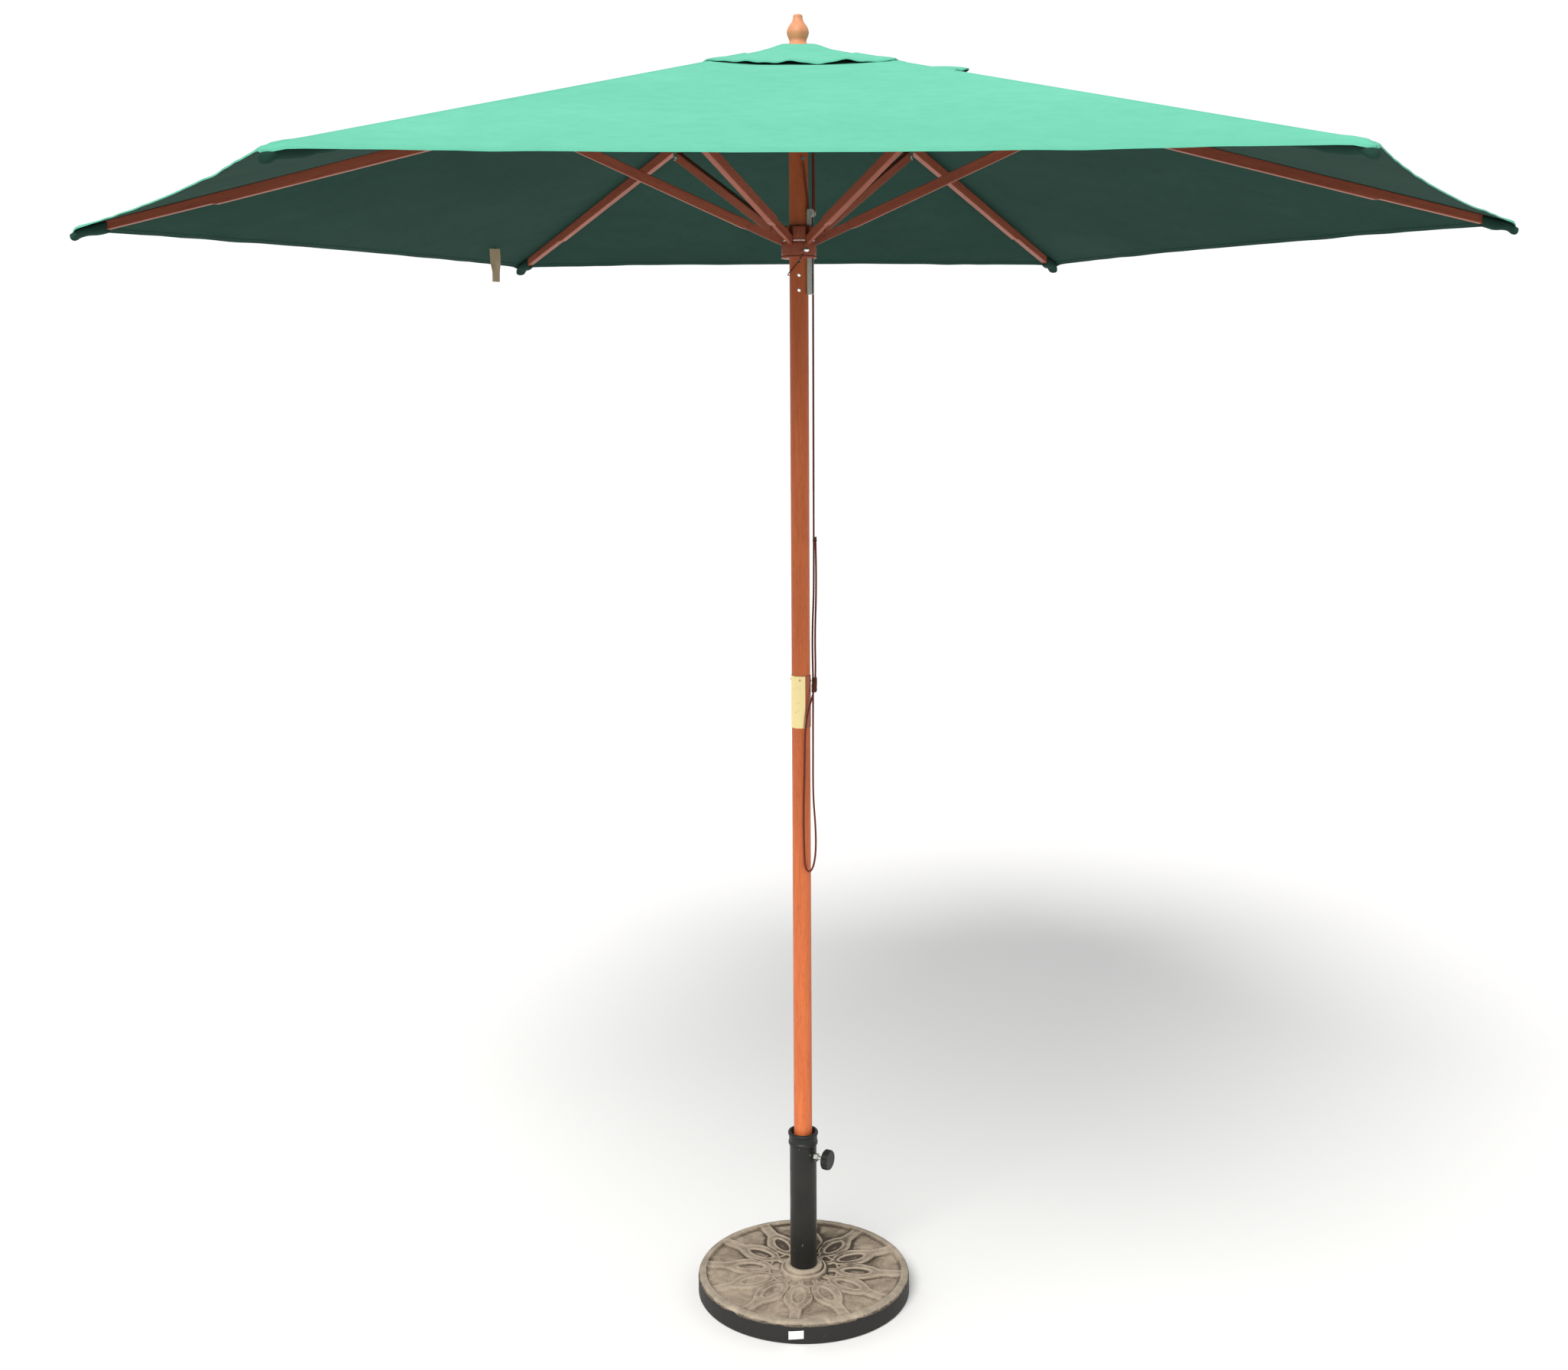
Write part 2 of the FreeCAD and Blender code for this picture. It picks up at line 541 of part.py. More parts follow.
arcs = []
for i in range(6):
    t = doc.addObject("Part::Torus", "runner_wire_%d" % i)
    bind(t, "Radius1", d.segment_radius - 0.7)
    bind(t, "Radius2", d.wire_radius - 0.05)
    t.Angle3 = 43.0
    t.Placement = FreeCAD.Placement(V(0, 0, num(d.runner_pivot_z)), R(V(0, 0, 1), 60.0 * i + 30 - 21.5))
    arcs.append(t)
node(group("runner_wire", arcs))

# U strap of the lower pulley: two legs, a web at the foot, round head, axle between the legs
srot = R(V(0, 0, 1), sector)
st, sb = num(d.strap_top), num(d.strap_bottom)
axis_dir = srot.multVec(V(0, 1, 0))
across = R(V(0, 0, 1), axis_dir)
legs = []
for k in (-1, 1):
    legs.append(box("strap_leg_%d" % k, d.strap_outer - d.strap_inner, 1.4, st - 6 - sb, polar(mid_r, sector, (st - 6 + sb) / 2) + axis_dir * (k * 4.3), srot))
    legs.append(cylinder("strap_head_%d" % k, 7.0, 1.4, polar(num(d.runner_sheave_r), sector, num(d.runner_sheave_z)) + axis_dir * (k * 4.3 - 0.7), across))
legs.append(box("strap_web", d.strap_outer - d.strap_inner, 10.0, 1.6, polar(mid_r, sector, sb + 0.8), srot))
legs.append(cylinder("strap_axle", 1.8, 12.0, polar(num(d.runner_sheave_r), sector, num(d.runner_sheave_z)) - axis_dir * 6.0, across))
node(fuse("runner_pulley_strap", legs))


def sheave(label, pos, rot):
    b = new_body(label)
    fl, pr, c = d.sheave_flange, d.sheave_pitch, num(d.cord_diameter) / 2 + 0.12
    pts = [(1.9, -3.4), (fl, -3.4), (fl, -2.9)]
    for a in (-75, -45, -20, 0, 20, 45, 75):
        pts.append((pr - c * math.cos(math.radians(a)), c * math.sin(math.radians(a))))
    pts += [(fl, 2.9), (fl, 3.4), (1.9, 3.4)]
    revolve(b, pts)
    b.Placement = FreeCAD.Placement(pos, rot)
    return node(b)


sheave("runner_pulley_sheave", polar(num(d.runner_sheave_r), sector, num(d.runner_sheave_z)), across)
tx, ty, tz = num(d.top_sheave_x), num(d.top_sheave_y), num(d.top_sheave_z)
rx = R(V(0, 0, 1), V(1, 0, 0))
cb = num(d.crown_bottom)
block = [box("block_cheek_%d" % k, 1.4, 11, cb - tz - 0.1, V(tx + k * 4.3, ty, (cb - 0.1 + tz) / 2)) for k in (-1, 1)]
block += [cylinder("block_end_%d" % k, 5.5, 1.4, V(tx + k * 4.3 - 0.7, ty, tz), rx) for k in (-1, 1)]
block.append(box("block_web", 10, 11, 2, V(tx, ty, cb - 1.1)))
block.append(cylinder("block_axle", 1.8, 12, V(tx - 6, ty, tz), rx))
node(fuse("top_pulley_bracket", block))
sheave("top_pulley_sheave", V(tx, ty, tz), rx)

ad = polar(1, num(d.anchor_angle), 0)
a_shank = cylinder("anchor_shank", 1.5, 17.0, ad * (num(d.pole_radius) - 12) + V(0, 0, num(d.anchor_z)), anchor_rot)
a_head = cylinder("anchor_head", 4.0, 1.6, ad * (num(d.pole_radius) + 5) + V(0, 0, num(d.anchor_z)), anchor_rot)
node(fuse("cord_anchor_screw", [a_shank, a_head]))

# locking pin with a ball end, and its tether
pz = V(0, 0, num(d.pin_z))
rod = cylinder("pin_rod", 2.5, d.pin_ball_reach - 21.0, pin_dir * 21.0 + pz, pin_rot)
ball = doc.addObject("Part::Sphere", "pin_ball")
ball.Radius = 5.0
ball.Placement = FreeCAD.Placement(pin_dir * num(d.pin_ball_reach) + pz, R())
node(fuse("lock_pin", [rod, ball]))


# ------------------------------------------------------------------ cords
def corner_radius(a, p, q):
    u, w = p.sub(a), q.sub(p)
    lu, lw = u.Length, w.Length
    u.normalize()
    w.normalize()
    th = math.acos(max(-1.0, min(1.0, u.dot(w))))
    if th < 1e-4:
        raise RuntimeError("three route points in line")
    return 0.45 * min(lu, lw) / math.tan(th / 2), math.degrees(th)


def route_tube(label, pts, radius, quiet=False):
    """Round tube along straight runs joined by tangent arcs."""
    pts = [V(*p) for p in pts]
    edges, cur, length, radii = [], pts[0], 0.0, []
    for i in range(1, len(pts) - 1):
        a, p, q = pts[i - 1], pts[i], pts[i + 1]
        r, deg = corner_radius(a, p, q)
        radii.append(r)
        u, w = a.sub(p), q.sub(p)
        u.normalize()
        w.normalize()
        back = r * math.tan(math.radians(deg) / 2)
        s0, s1 = p + u * back, p + w * back
        bis = u + w
        bis.normalize()
        centre = p + bis * math.hypot(r, back)
        out = p.sub(centre)
        out.normalize()
        mid = centre + out * r
        edges.append(Part.LineSegment(cur, s0).toShape())
        arc = Part.Arc(s0, mid, s1).toShape()
        edges.append(arc)
        length += cur.distanceToPoint(s0) + arc.Length
        cur = s1
    edges.append(Part.LineSegment(cur, pts[-1]).toShape())
    length += cur.distanceToPoint(pts[-1])
    path = Part.Wire(edges)
    t = pts[1].sub(pts[0])
    t.normalize()
    prof = Part.Wire([Part.Circle(pts[0], t, radius).toShape()])
    shape = path.makePipeShell([prof], True, False)
    if shape.ShapeType != "Solid":
        shape = Part.Solid(Part.Shell(shape.Faces)) if not shape.Solids else shape.Solids[0]
    if shape.Volume < 0:
        shape.reverse()
    f = doc.addObject("Part::Feature", label)
    f.Shape = shape
    f.Placement = FreeCAD.Placement(V(0, 0, 0), R())
    f.Label = label
    want = math.pi * radius * radius * length
    print("%s: length %.1f mm, radii %s, volume %.1f against section x length %.1f" %
          (label, length, " ".join("%.0f" % r for r in radii), shape.Volume, want))
    if abs(shape.Volume - want) > 0.01 * want:
        raise RuntimeError(label + ": the tube's volume is wrong")
    return f, length


cr = num(d.cord_diameter) / 2
pr = num(d.sheave_pitch)


def octagon(angles, centre, eu, ev, r):
    k = r / math.cos(math.radians(22.5))
    return [centre + eu * (k * math.cos(math.radians(a))) + ev * (k * math.sin(math.radians(a))) for a in angles]


# strands between the anchor, the runner's sheave and the top sheave; they shorten and lengthen as the runner travels
sc = polar(num(d.runner_sheave_r), sector, num(d.runner_sheave_z))
er, ez = polar(1, sector, 0), V(0, 0, 1)
low = octagon((202.5, 247.5, 292.5, 337.5), sc, er, ez, pr)
a0 = polar(24.6, num(d.anchor_angle), num(d.anchor_z) - 4.4)
lead = sc - er * pr + ez * 22.0
end = V(tx, ty - pr, tz - 3.5)
rise = sc + er * pr + ez * 22.0
runs = [a0, lead] + low + [rise, end]
f, hoist_len = route_tube("hoist_cord_runs", [tuple(p) for p in runs], cr - 0.1)
node(f)

TAIL = [(tx, ty - pr, tz - 2.98)] + [tuple(p) for p in octagon((157.5, 112.5, 67.5, 22.5), V(tx, ty, tz), V(0, 1, 0), ez, pr)] + [
    (28.2, 25.6, 1530.0), (27.6, 26.2, 1466.0), (25.0, 21.5, 1412.0), (24.2, 14.0, 1366.0), (24.6, 6.0, 1326.0), (25.0, 0.6, 1288.0),
    (24.6, -3.4, 1246.0), (24.2, -6.2, 1196.0), (24.0, -8.4, 1146.0), (23.6, -10.0, 1094.0), (24.4, -12.6, 1048.0), (27.4, -15.4, 1010.0),
    (28.8, -17.4, 974.0), (28.4, -18.4, 948.0), (26.2, -19.6, 926.0), (22.2, -20.8, 910.5), (16.2, -22.2, 903.0), (9.8, -23.2, 905.5),
    (6.2, -23.6, 916.5), (4.8, -23.8, 936.0), (3.8, -24.0, 972.0), (3.4, -24.0, 1026.0), (4.6, -23.9, 1076.0), (6.2, -23.7, 1126.0),
    (6.8, -23.8, 1172.0), (8.8, -23.8, 1210.0), (13.6, -22.0, 1236.0), (20.0, -16.4, 1257.0), (26.0, -9.0, 1275.0), (29.2, -3.4, 1296.0),
    (30.2, 3.6, 1324.0), (29.8, 12.2, 1364.0), (30.4, 20.2, 1410.0), (32.4, 24.6, 1458.0), (33.0, 27.6, 1512.0), (32.6, 28.2, 1558.0),
    (32.0, 28.2, 1586.0)]
f, tail_len = route_tube("hoist_cord_tail", TAIL, cr)
node(f)
print("tail length %.1f" % tail_len)

knots = []
for i, (px, py, pz_, sx, sz) in enumerate(((30.3, 27.0, 1584.0, 4.8, 8.0), (27.3, -1.5, 1288.0, 6.6, 17.0))):
    e = doc.addObject("Part::Ellipsoid", "knot_%d" % i)
    e.Radius1 = sz
    e.Radius2 = sx
    e.Radius3 = sx
    e.Placement = FreeCAD.Placement(V(px, py, pz_), R())
    knots.append(e)
node(group("cord_knot", knots))

pb = num(d.pin_z)
TETHER = [tuple(pin_dir * 46.0 + V(0, 0, pb - 4.2)), (2.0, -37.0, pb - 16), (-8.0, -27.0, pb - 28), (-17.5, -16.5, pb - 38), (-23.0, -3.5, pb - 45),
          (-20.5, 10.5, pb - 46), (-10.5, 20.5, pb - 41), (1.5, 24.5, pb - 32), (4.0, 26.0, pb - 22), (4.0, 26.2, pb - 13.1)]
f, tether_len = route_tube("lock_pin_tether", TETHER, 0.9)
node(f)

# ------------------------------------------------------------------ cloth
cl = num(d.cloth)
k_rib = math.tan(slope)
c30 = math.cos(math.radians(30))
ridge0 = cp[1] + cp[0] * k_rib + (hd + cl) / math.cos(slope) + cl


def prism(pts, depth):
    f = Part.Face(Part.makePolygon([V(*p) for p in pts] + [V(*pts[0])]))
    return f.extrude(V(0, 0, -depth))


def half_gore(side, ridge, k, inner, outer, hollow, gap, depth):
    """Half a gore beside a rib along +X, flat in the gore's own plane."""
    a = math.radians(30.0 * side)
    ex, et = (math.cos(a), math.sin(a)), (-math.sin(a), math.cos(a))

    def on(xp, t):
        return (ex[0] * xp + et[0] * t, ex[1] * xp + et[1] * t, ridge - k * xp / c30)

    def corner(r):
        return on(r * c30, -side * r * 0.5)
    pts = [corner(inner), corner(outer)]
    for f in (0.2, 0.4, 0.6, 0.8):
        pts.append(on(outer * c30 - hollow * math.sin(f * math.pi / 2), -side * outer * 0.5 * (1 - f)))
    pts.append(on(outer * c30 - hollow, -side * gap))
    pts.append(on(inner * c30, -side * gap))
    return prism(pts, depth)


def cloth_part(label, pieces, az):
    shape = pieces[0].multiFuse(pieces[1:]).removeSplitter()
    if len(shape.Solids) != 1:
        raise RuntimeError(label + ": the cloth isn't one solid")
    f = doc.addObject("Part::Feature", label)
    f.Shape = shape.Solids[0]
    f.Placement = FreeCAD.Placement(V(0, 0, 0), R(V(0, 0, 1), az))
    f.Label = label
    return node(f)


for i in range(6):
    cloth_part("canopy_panel_%d" % (i + 1), [half_gore(sd, ridge0, k_rib, num(d.vent_corner), num(d.tip_radius), num(d.edge_hollow), 0.15, cl) for sd in (-1, 1)], 60.0 * i)
cap_flat = 47.0
cap_z = num(d.cap_top)
corner_z = ridge0 - k_rib * num(d.cap_corner) + cl + 1.4
k_cap = (cap_z - corner_z) / (num(d.cap_corner) - cap_flat)
for i in range(6):
    pieces = []
    for sd in (-1, 1):
        pieces.append(half_gore(sd, cap_z + k_cap * cap_flat, k_cap, cap_flat, num(d.cap_corner), 9.0, 0.15, cl))
        pieces.append(half_gore(sd, cap_z, 0.0, 9.5, cap_flat, 0.0, 0.15, cl))
    cloth_part("vent_cap_panel_%d" % (i + 1), pieces, 60.0 * i)

# swing tag on a thread under the canopy beside rib 3
tag_pos = V(-748.7, 965.5, 2203.5)
tag_rot = R(V(0, 0, 1), 40.0).multiply(R(V(0, 1, 0), 1.5))
card = box("tag_card", 28, 0.9, 83, tag_pos, tag_rot)
thread = cylinder("tag_thread", 0.7, 8.6, tag_pos + V(1.0, 0.9, 39.6), R())
node(fuse("hang_tag", [card, thread]))

# ------------------------------------------------------------------ check and write
RENAME = {"stand_tube_part": "stand_tube", "upper_pole_part": "upper_pole", "pole_ferrule_part": "pole_ferrule", "runner_hub_part": "runner_hub"}
for obj in list(NODES):
    if obj.Label in RENAME:
        raw_label = RENAME[obj.Label]
        for o in doc.Objects:
            if o.Label == raw_label:
                o.Label = raw_label + "_blank"
        obj.Label = raw_label
doc.recompute()
for obj in doc.Objects:
    if "Invalid" in obj.State or "Error" in obj.State:
        raise RuntimeError("failed object: " + obj.Label + " " + str(obj.State))
if len(NODES) > 60:
    raise RuntimeError("too many nodes")
for obj in NODES:
    shp = obj.Shape
    if shp.isNull() or not shp.isValid() or not shp.Solids:
        raise RuntimeError("bad shape: " + obj.Label)
    for so in shp.Solids:
        if so.Volume <= 0:
            raise RuntimeError("empty or inside-out solid: " + obj.Label)
os.makedirs("parts", exist_ok=True)
for obj in NODES:
    obj.Shape.exportStep("parts/" + obj.Label + ".step")
print("%d nodes" % len(NODES))
print("rib u_b %.3f v_b %.3f rib length %.2f strut length %.3f strut angle %.3f ridge %.3f" % (u_b, v_b, rib_length, strut_length, strut_angle, ridge0))
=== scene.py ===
import bpy, math
import numpy as np
from mathutils import Vector, Matrix


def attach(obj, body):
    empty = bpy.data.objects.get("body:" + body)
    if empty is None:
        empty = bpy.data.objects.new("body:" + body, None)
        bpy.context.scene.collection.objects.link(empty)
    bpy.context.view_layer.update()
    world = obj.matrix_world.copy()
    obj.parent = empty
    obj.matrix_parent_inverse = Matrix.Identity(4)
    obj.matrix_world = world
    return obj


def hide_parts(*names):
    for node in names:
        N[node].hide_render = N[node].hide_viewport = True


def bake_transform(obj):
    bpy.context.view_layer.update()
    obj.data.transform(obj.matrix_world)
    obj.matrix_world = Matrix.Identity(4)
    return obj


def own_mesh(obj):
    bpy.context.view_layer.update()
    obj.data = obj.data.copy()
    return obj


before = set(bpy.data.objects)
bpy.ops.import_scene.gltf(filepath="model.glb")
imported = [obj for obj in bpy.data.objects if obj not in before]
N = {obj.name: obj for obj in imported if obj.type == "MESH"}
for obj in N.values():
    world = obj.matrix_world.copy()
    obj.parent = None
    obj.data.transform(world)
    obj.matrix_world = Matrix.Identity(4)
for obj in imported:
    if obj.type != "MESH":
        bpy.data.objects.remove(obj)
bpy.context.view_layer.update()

mm = 0.001
rad = math.radians
scene = bpy.context.scene
scene.view_settings.view_transform = "Standard"

# ------------------------------------------------------------------ camera
delta, pitch, roll = rad(0.8979), rad(5.0), rad(-0.3208)


def turned(x, y):
    return x * math.cos(delta) + y * math.sin(delta), -x * math.sin(delta) + y * math.cos(delta)


cxy = turned(-32.958, -3587.673)
fx = turned(0, 1)
rx = turned(1, 0)
look = Vector((fx[0] * math.cos(pitch), fx[1] * math.cos(pitch), -math.sin(pitch)))
right = Vector((rx[0], rx[1], 0.0))
up = Vector((fx[0] * math.sin(pitch), fx[1] * math.sin(pitch), math.cos(pitch)))
cam_x = right * math.cos(roll) + up * math.sin(roll)
cam_y = up * math.cos(roll) - right * math.sin(roll)
cam_data = bpy.data.cameras.new("camera")
cam_data.sensor_width = 36.0
cam_data.sensor_fit = "HORIZONTAL"
cam_data.lens = 36.0 * 2315.70 / 2051.0
cam_data.shift_y = -(896.0 - 695.42) / 2051.0
cam_data.clip_end = 200
cam = bpy.data.objects.new("camera", cam_data)
scene.collection.objects.link(cam)
m = Matrix((cam_x, cam_y, -look)).transposed().to_4x4()
m.translation = Vector((cxy[0] * mm, cxy[1] * mm, 1917.293 * mm))
cam.matrix_world = m
scene.camera = cam


# ------------------------------------------------------------------ mesh helpers
def mesh(name, verts, faces, mats=(), face_mat=None, sharp=None):
    me = bpy.data.meshes.new(name)
    me.from_pydata(np.asarray(verts, float).tolist(), [], [list(map(int, f)) for f in faces])
    o = bpy.data.objects.new(name, me)
    scene.collection.objects.link(o)
    for a in mats:
        me.materials.append(a)
    if face_mat is not None:
        me.polygons.foreach_set("material_index", np.asarray(face_mat, np.int32))
    me.polygons.foreach_set("use_smooth", np.ones(len(me.polygons), bool))
    if sharp:
        me.set_sharp_from_angle(angle=rad(sharp))
    me.update()
    return o


def attribute(o, name, values):
    a = o.data.attributes.new(name, "FLOAT", "POINT")
    a.data.foreach_set("value", np.asarray(values, np.float32))


def nurbs_line(points, step):
    """Evenly spaced points, in metres, along the smooth line of a route in millimetres."""
    cu = bpy.data.curves.new("route", "CURVE")
    cu.dimensions = "3D"
    sp = cu.splines.new("NURBS")
    sp.points.add(len(points) - 1)
    for p, q in zip(sp.points, points):
        p.co = (q[0] * mm, q[1] * mm, q[2] * mm, 1.0)
    sp.order_u = 3
    sp.use_endpoint_u = True
    cu.resolution_u = 32
    o = bpy.data.objects.new("route", cu)
    scene.collection.objects.link(o)
    bpy.context.view_layer.update()
    me = bpy.data.meshes.new_from_object(o.evaluated_get(bpy.context.evaluated_depsgraph_get()))
    P = np.array([v.co for v in me.vertices], float)
    bpy.data.objects.remove(o)
    s = np.concatenate([[0], np.cumsum(np.linalg.norm(np.diff(P, axis=0), axis=1))])
    n = max(8, int(round(s[-1] / (step * mm))))
    t = np.linspace(0, s[-1], n + 1)
    return np.stack([np.interp(t, s, P[:, k]) for k in range(3)], 1), float(s[-1])


def tube(name, P, radius, sides=12, mats=(), strands=0, pitch=0.012, depth=0.1, taper=True):
    """Closed round tube along P, in metres; strands twists that many strands round it."""
    P = np.asarray(P, float)
    n = len(P)
    T = np.gradient(P, axis=0)
    T /= np.linalg.norm(T, axis=1)[:, None]
    ref = np.array([0.0, 0.0, 1.0]) if abs(T[0][2]) < 0.9 else np.array([1.0, 0.0, 0.0])
    u = np.cross(T[0], ref)
    u /= np.linalg.norm(u)
    s = np.concatenate([[0], np.cumsum(np.linalg.norm(np.diff(P, axis=0), axis=1))])
    verts, ring_s, ring_a = [], [], []
    for i in range(n):
        u = u - T[i] * np.dot(u, T[i])
        u /= np.linalg.norm(u)
        w = np.cross(T[i], u)
        shrink = 1.0
        if taper:
            e = min(s[i], s[-1] - s[i]) / radius
            shrink = math.sqrt(max(0.0, 1 - (1 - min(1, e * 1.4)) ** 2)) * 0.7 + 0.3
        for k in range(sides):
            a = 2 * math.pi * k / sides
            r = radius * shrink
            if strands:
                r *= 1 - depth + depth * abs(math.cos(0.5 * (strands * a + 2 * math.pi * strands * s[i] / pitch))) * 1.6
            verts.append(P[i] + r * (math.cos(a) * u + math.sin(a) * w))
            ring_s.append(s[i])
            ring_a.append(a)
    faces = []
    for i in range(n - 1):
        for k in range(sides):
            k2 = (k + 1) % sides
            faces.append((i * sides + k, i * sides + k2, (i + 1) * sides + k2, (i + 1) * sides + k))
    faces.append(tuple(reversed(range(sides))))
    faces.append(tuple(range((n - 1) * sides, n * sides)))
    o = mesh(name, verts, faces, mats, sharp=60)
    attribute(o, "along", ring_s)
    attribute(o, "turn_sin", np.sin(ring_a))
    attribute(o, "turn_cos", np.cos(ring_a))
    return o


def lathe(name, profile, steps, mats=(), sharp=35, fix=None, face_mat=None):
    """Closed ring solid: profile is a closed loop of (r, z) in millimetres; fix changes a ring's points."""
    n = len(profile)
    verts = []
    for j in range(steps):
        a = 2 * math.pi * j / steps
        for i, (r, z) in enumerate(profile):
            if fix:
                aa, r2, z2 = fix(j, a, i, r, z)
            else:
                aa, r2, z2 = a, r, z
            verts.append((r2 * math.cos(aa) * mm, r2 * math.sin(aa) * mm, z2 * mm))
    faces = []
    for j in range(steps):
        j2 = (j + 1) % steps
        for i in range(n):
            i2 = (i + 1) % n
            faces.append((j * n + i, j2 * n + i, j2 * n + i2, j * n + i2))
    return mesh(name, verts, faces, mats, sharp=sharp)


def swell(x, y, seed, wave, count=9):
    """Smooth seeded unevenness, about -1 to 1, with bumps about wave millimetres long."""
    r = np.random.default_rng(seed)
    total = np.zeros_like(np.asarray(x, float))
    for _ in range(count):
        a = r.uniform(0, 2 * math.pi)
        f = 2 * math.pi / wave * (0.6 + 0.9 * r.uniform())
        total += np.sin(f * (x * math.cos(a) + y * math.sin(a)) + r.uniform(0, 2 * math.pi))
    return total / math.sqrt(count) * 0.8


def smooth(a, b, v):
    t = np.clip((v - a) / (b - a), 0, 1)
    return t * t * (3 - 2 * t)


# ------------------------------------------------------------------ material helpers
class Mat:
    def __init__(self, name, color=(0.8, 0.8, 0.8), rough=0.5, metal=0.0):
        self.m = bpy.data.materials.new(name)
        self.m.use_nodes = True
        self.t = self.m.node_tree
        self.t.nodes.clear()
        self.out = self.t.nodes.new("ShaderNodeOutputMaterial")
        self.b = self.t.nodes.new("ShaderNodeBsdfPrincipled")
        self.t.links.new(self.b.outputs[0], self.out.inputs[0])
        self.set("Base Color", color)
        self.set("Roughness", rough)
        self.set("Metallic", metal)
        self.m.diffuse_color = (*color[:3], 1) if not hasattr(color, "links") else (0.5, 0.5, 0.5, 1)
        self._obj = None

    def put(self, sock, v):
        if hasattr(v, "is_linked"):
            self.t.links.new(v, sock)
        elif isinstance(v, (tuple, list)):
            sock.default_value = (*v[:3], 1.0) if len(sock.default_value) == 4 else tuple(v[:3])
        else:
            sock.default_value = v

    def set(self, name, v):
        self.put(self.b.inputs[name], v)

    def coords(self, scale=(1, 1, 1), axis=None):
        if self._obj is None:
            self._obj = self.t.nodes.new("ShaderNodeTexCoord").outputs["Object"]
        mp = self.t.nodes.new("ShaderNodeMapping")
        mp.vector_type = "TEXTURE"
        if axis is not None:
            mp.inputs["Rotation"].default_value = Vector((0, 0, 1)).rotation_difference(Vector(axis)).to_euler()
        mp.inputs["Scale"].default_value = scale
        self.t.links.new(self._obj, mp.inputs["Vector"])
        return mp.outputs[0]

    def noise(self, scale, vec=None, detail=3.0, rough=0.55, distort=0.0):
        n = self.t.nodes.new("ShaderNodeTexNoise")
        n.inputs["Scale"].default_value = scale
        n.inputs["Detail"].default_value = detail
        n.inputs["Roughness"].default_value = rough
        n.inputs["Distortion"].default_value = distort
        self.put(n.inputs["Vector"], vec if vec is not None else self.coords())
        return n.outputs["Fac"]

    def wave(self, scale, vec=None, direction="X", distort=0.0, detail=1.0):
        n = self.t.nodes.new("ShaderNodeTexWave")
        n.bands_direction = direction
        n.inputs["Scale"].default_value = scale
        n.inputs["Distortion"].default_value = distort
        n.inputs["Detail"].default_value = detail
        self.put(n.inputs["Vector"], vec if vec is not None else self.coords())
        return n.outputs["Fac"]

    def attr(self, name):
        n = self.t.nodes.new("ShaderNodeAttribute")
        n.attribute_name = name
        return n.outputs["Fac"]

    def math(self, op, a, b=0.0, c=None):
        n = self.t.nodes.new("ShaderNodeMath")
        n.operation = op
        self.put(n.inputs[0], a)
        self.put(n.inputs[1], b)
        if c is not None:
            self.put(n.inputs[2], c)
        return n.outputs[0]

    def range(self, v, a, b, c=0.0, d=1.0):
        n = self.t.nodes.new("ShaderNodeMapRange")
        n.clamp = True
        self.put(n.inputs["Value"], v)
        for k, q in (("From Min", a), ("From Max", b), ("To Min", c), ("To Max", d)):
            n.inputs[k].default_value = q
        return n.outputs[0]

    def mix(self, f, a, b, mode="MIX"):
        n = self.t.nodes.new("ShaderNodeMix")
        n.data_type = "RGBA"
        n.blend_type = mode
        self.put(n.inputs[0], f)
        self.put(n.inputs[6], a)
        self.put(n.inputs[7], b)
        return n.outputs[2]

    def bump(self, height, strength=0.3, distance=0.001, normal=None):
        n = self.t.nodes.new("ShaderNodeBump")
        n.inputs["Strength"].default_value = strength
        n.inputs["Distance"].default_value = distance
        self.put(n.inputs["Height"], height)
        if normal is not None:
            self.put(n.inputs["Normal"], normal)
        return n.outputs[0]

    def stitch(self, dist, at, width, along, pitch, duty=0.62):
        near = self.math("LESS_THAN", self.math("ABSOLUTE", self.math("SUBTRACT", dist, at)), width)
        dash = self.math("LESS_THAN", self.math("FRACT", self.math("DIVIDE", along, pitch)), duty)
        return self.math("MULTIPLY", near, dash)


def assign(node, material):
    o = N[node]
    if not o.material_slots:
        o.data.materials.append(material)
    for s in o.material_slots:
        s.material = material


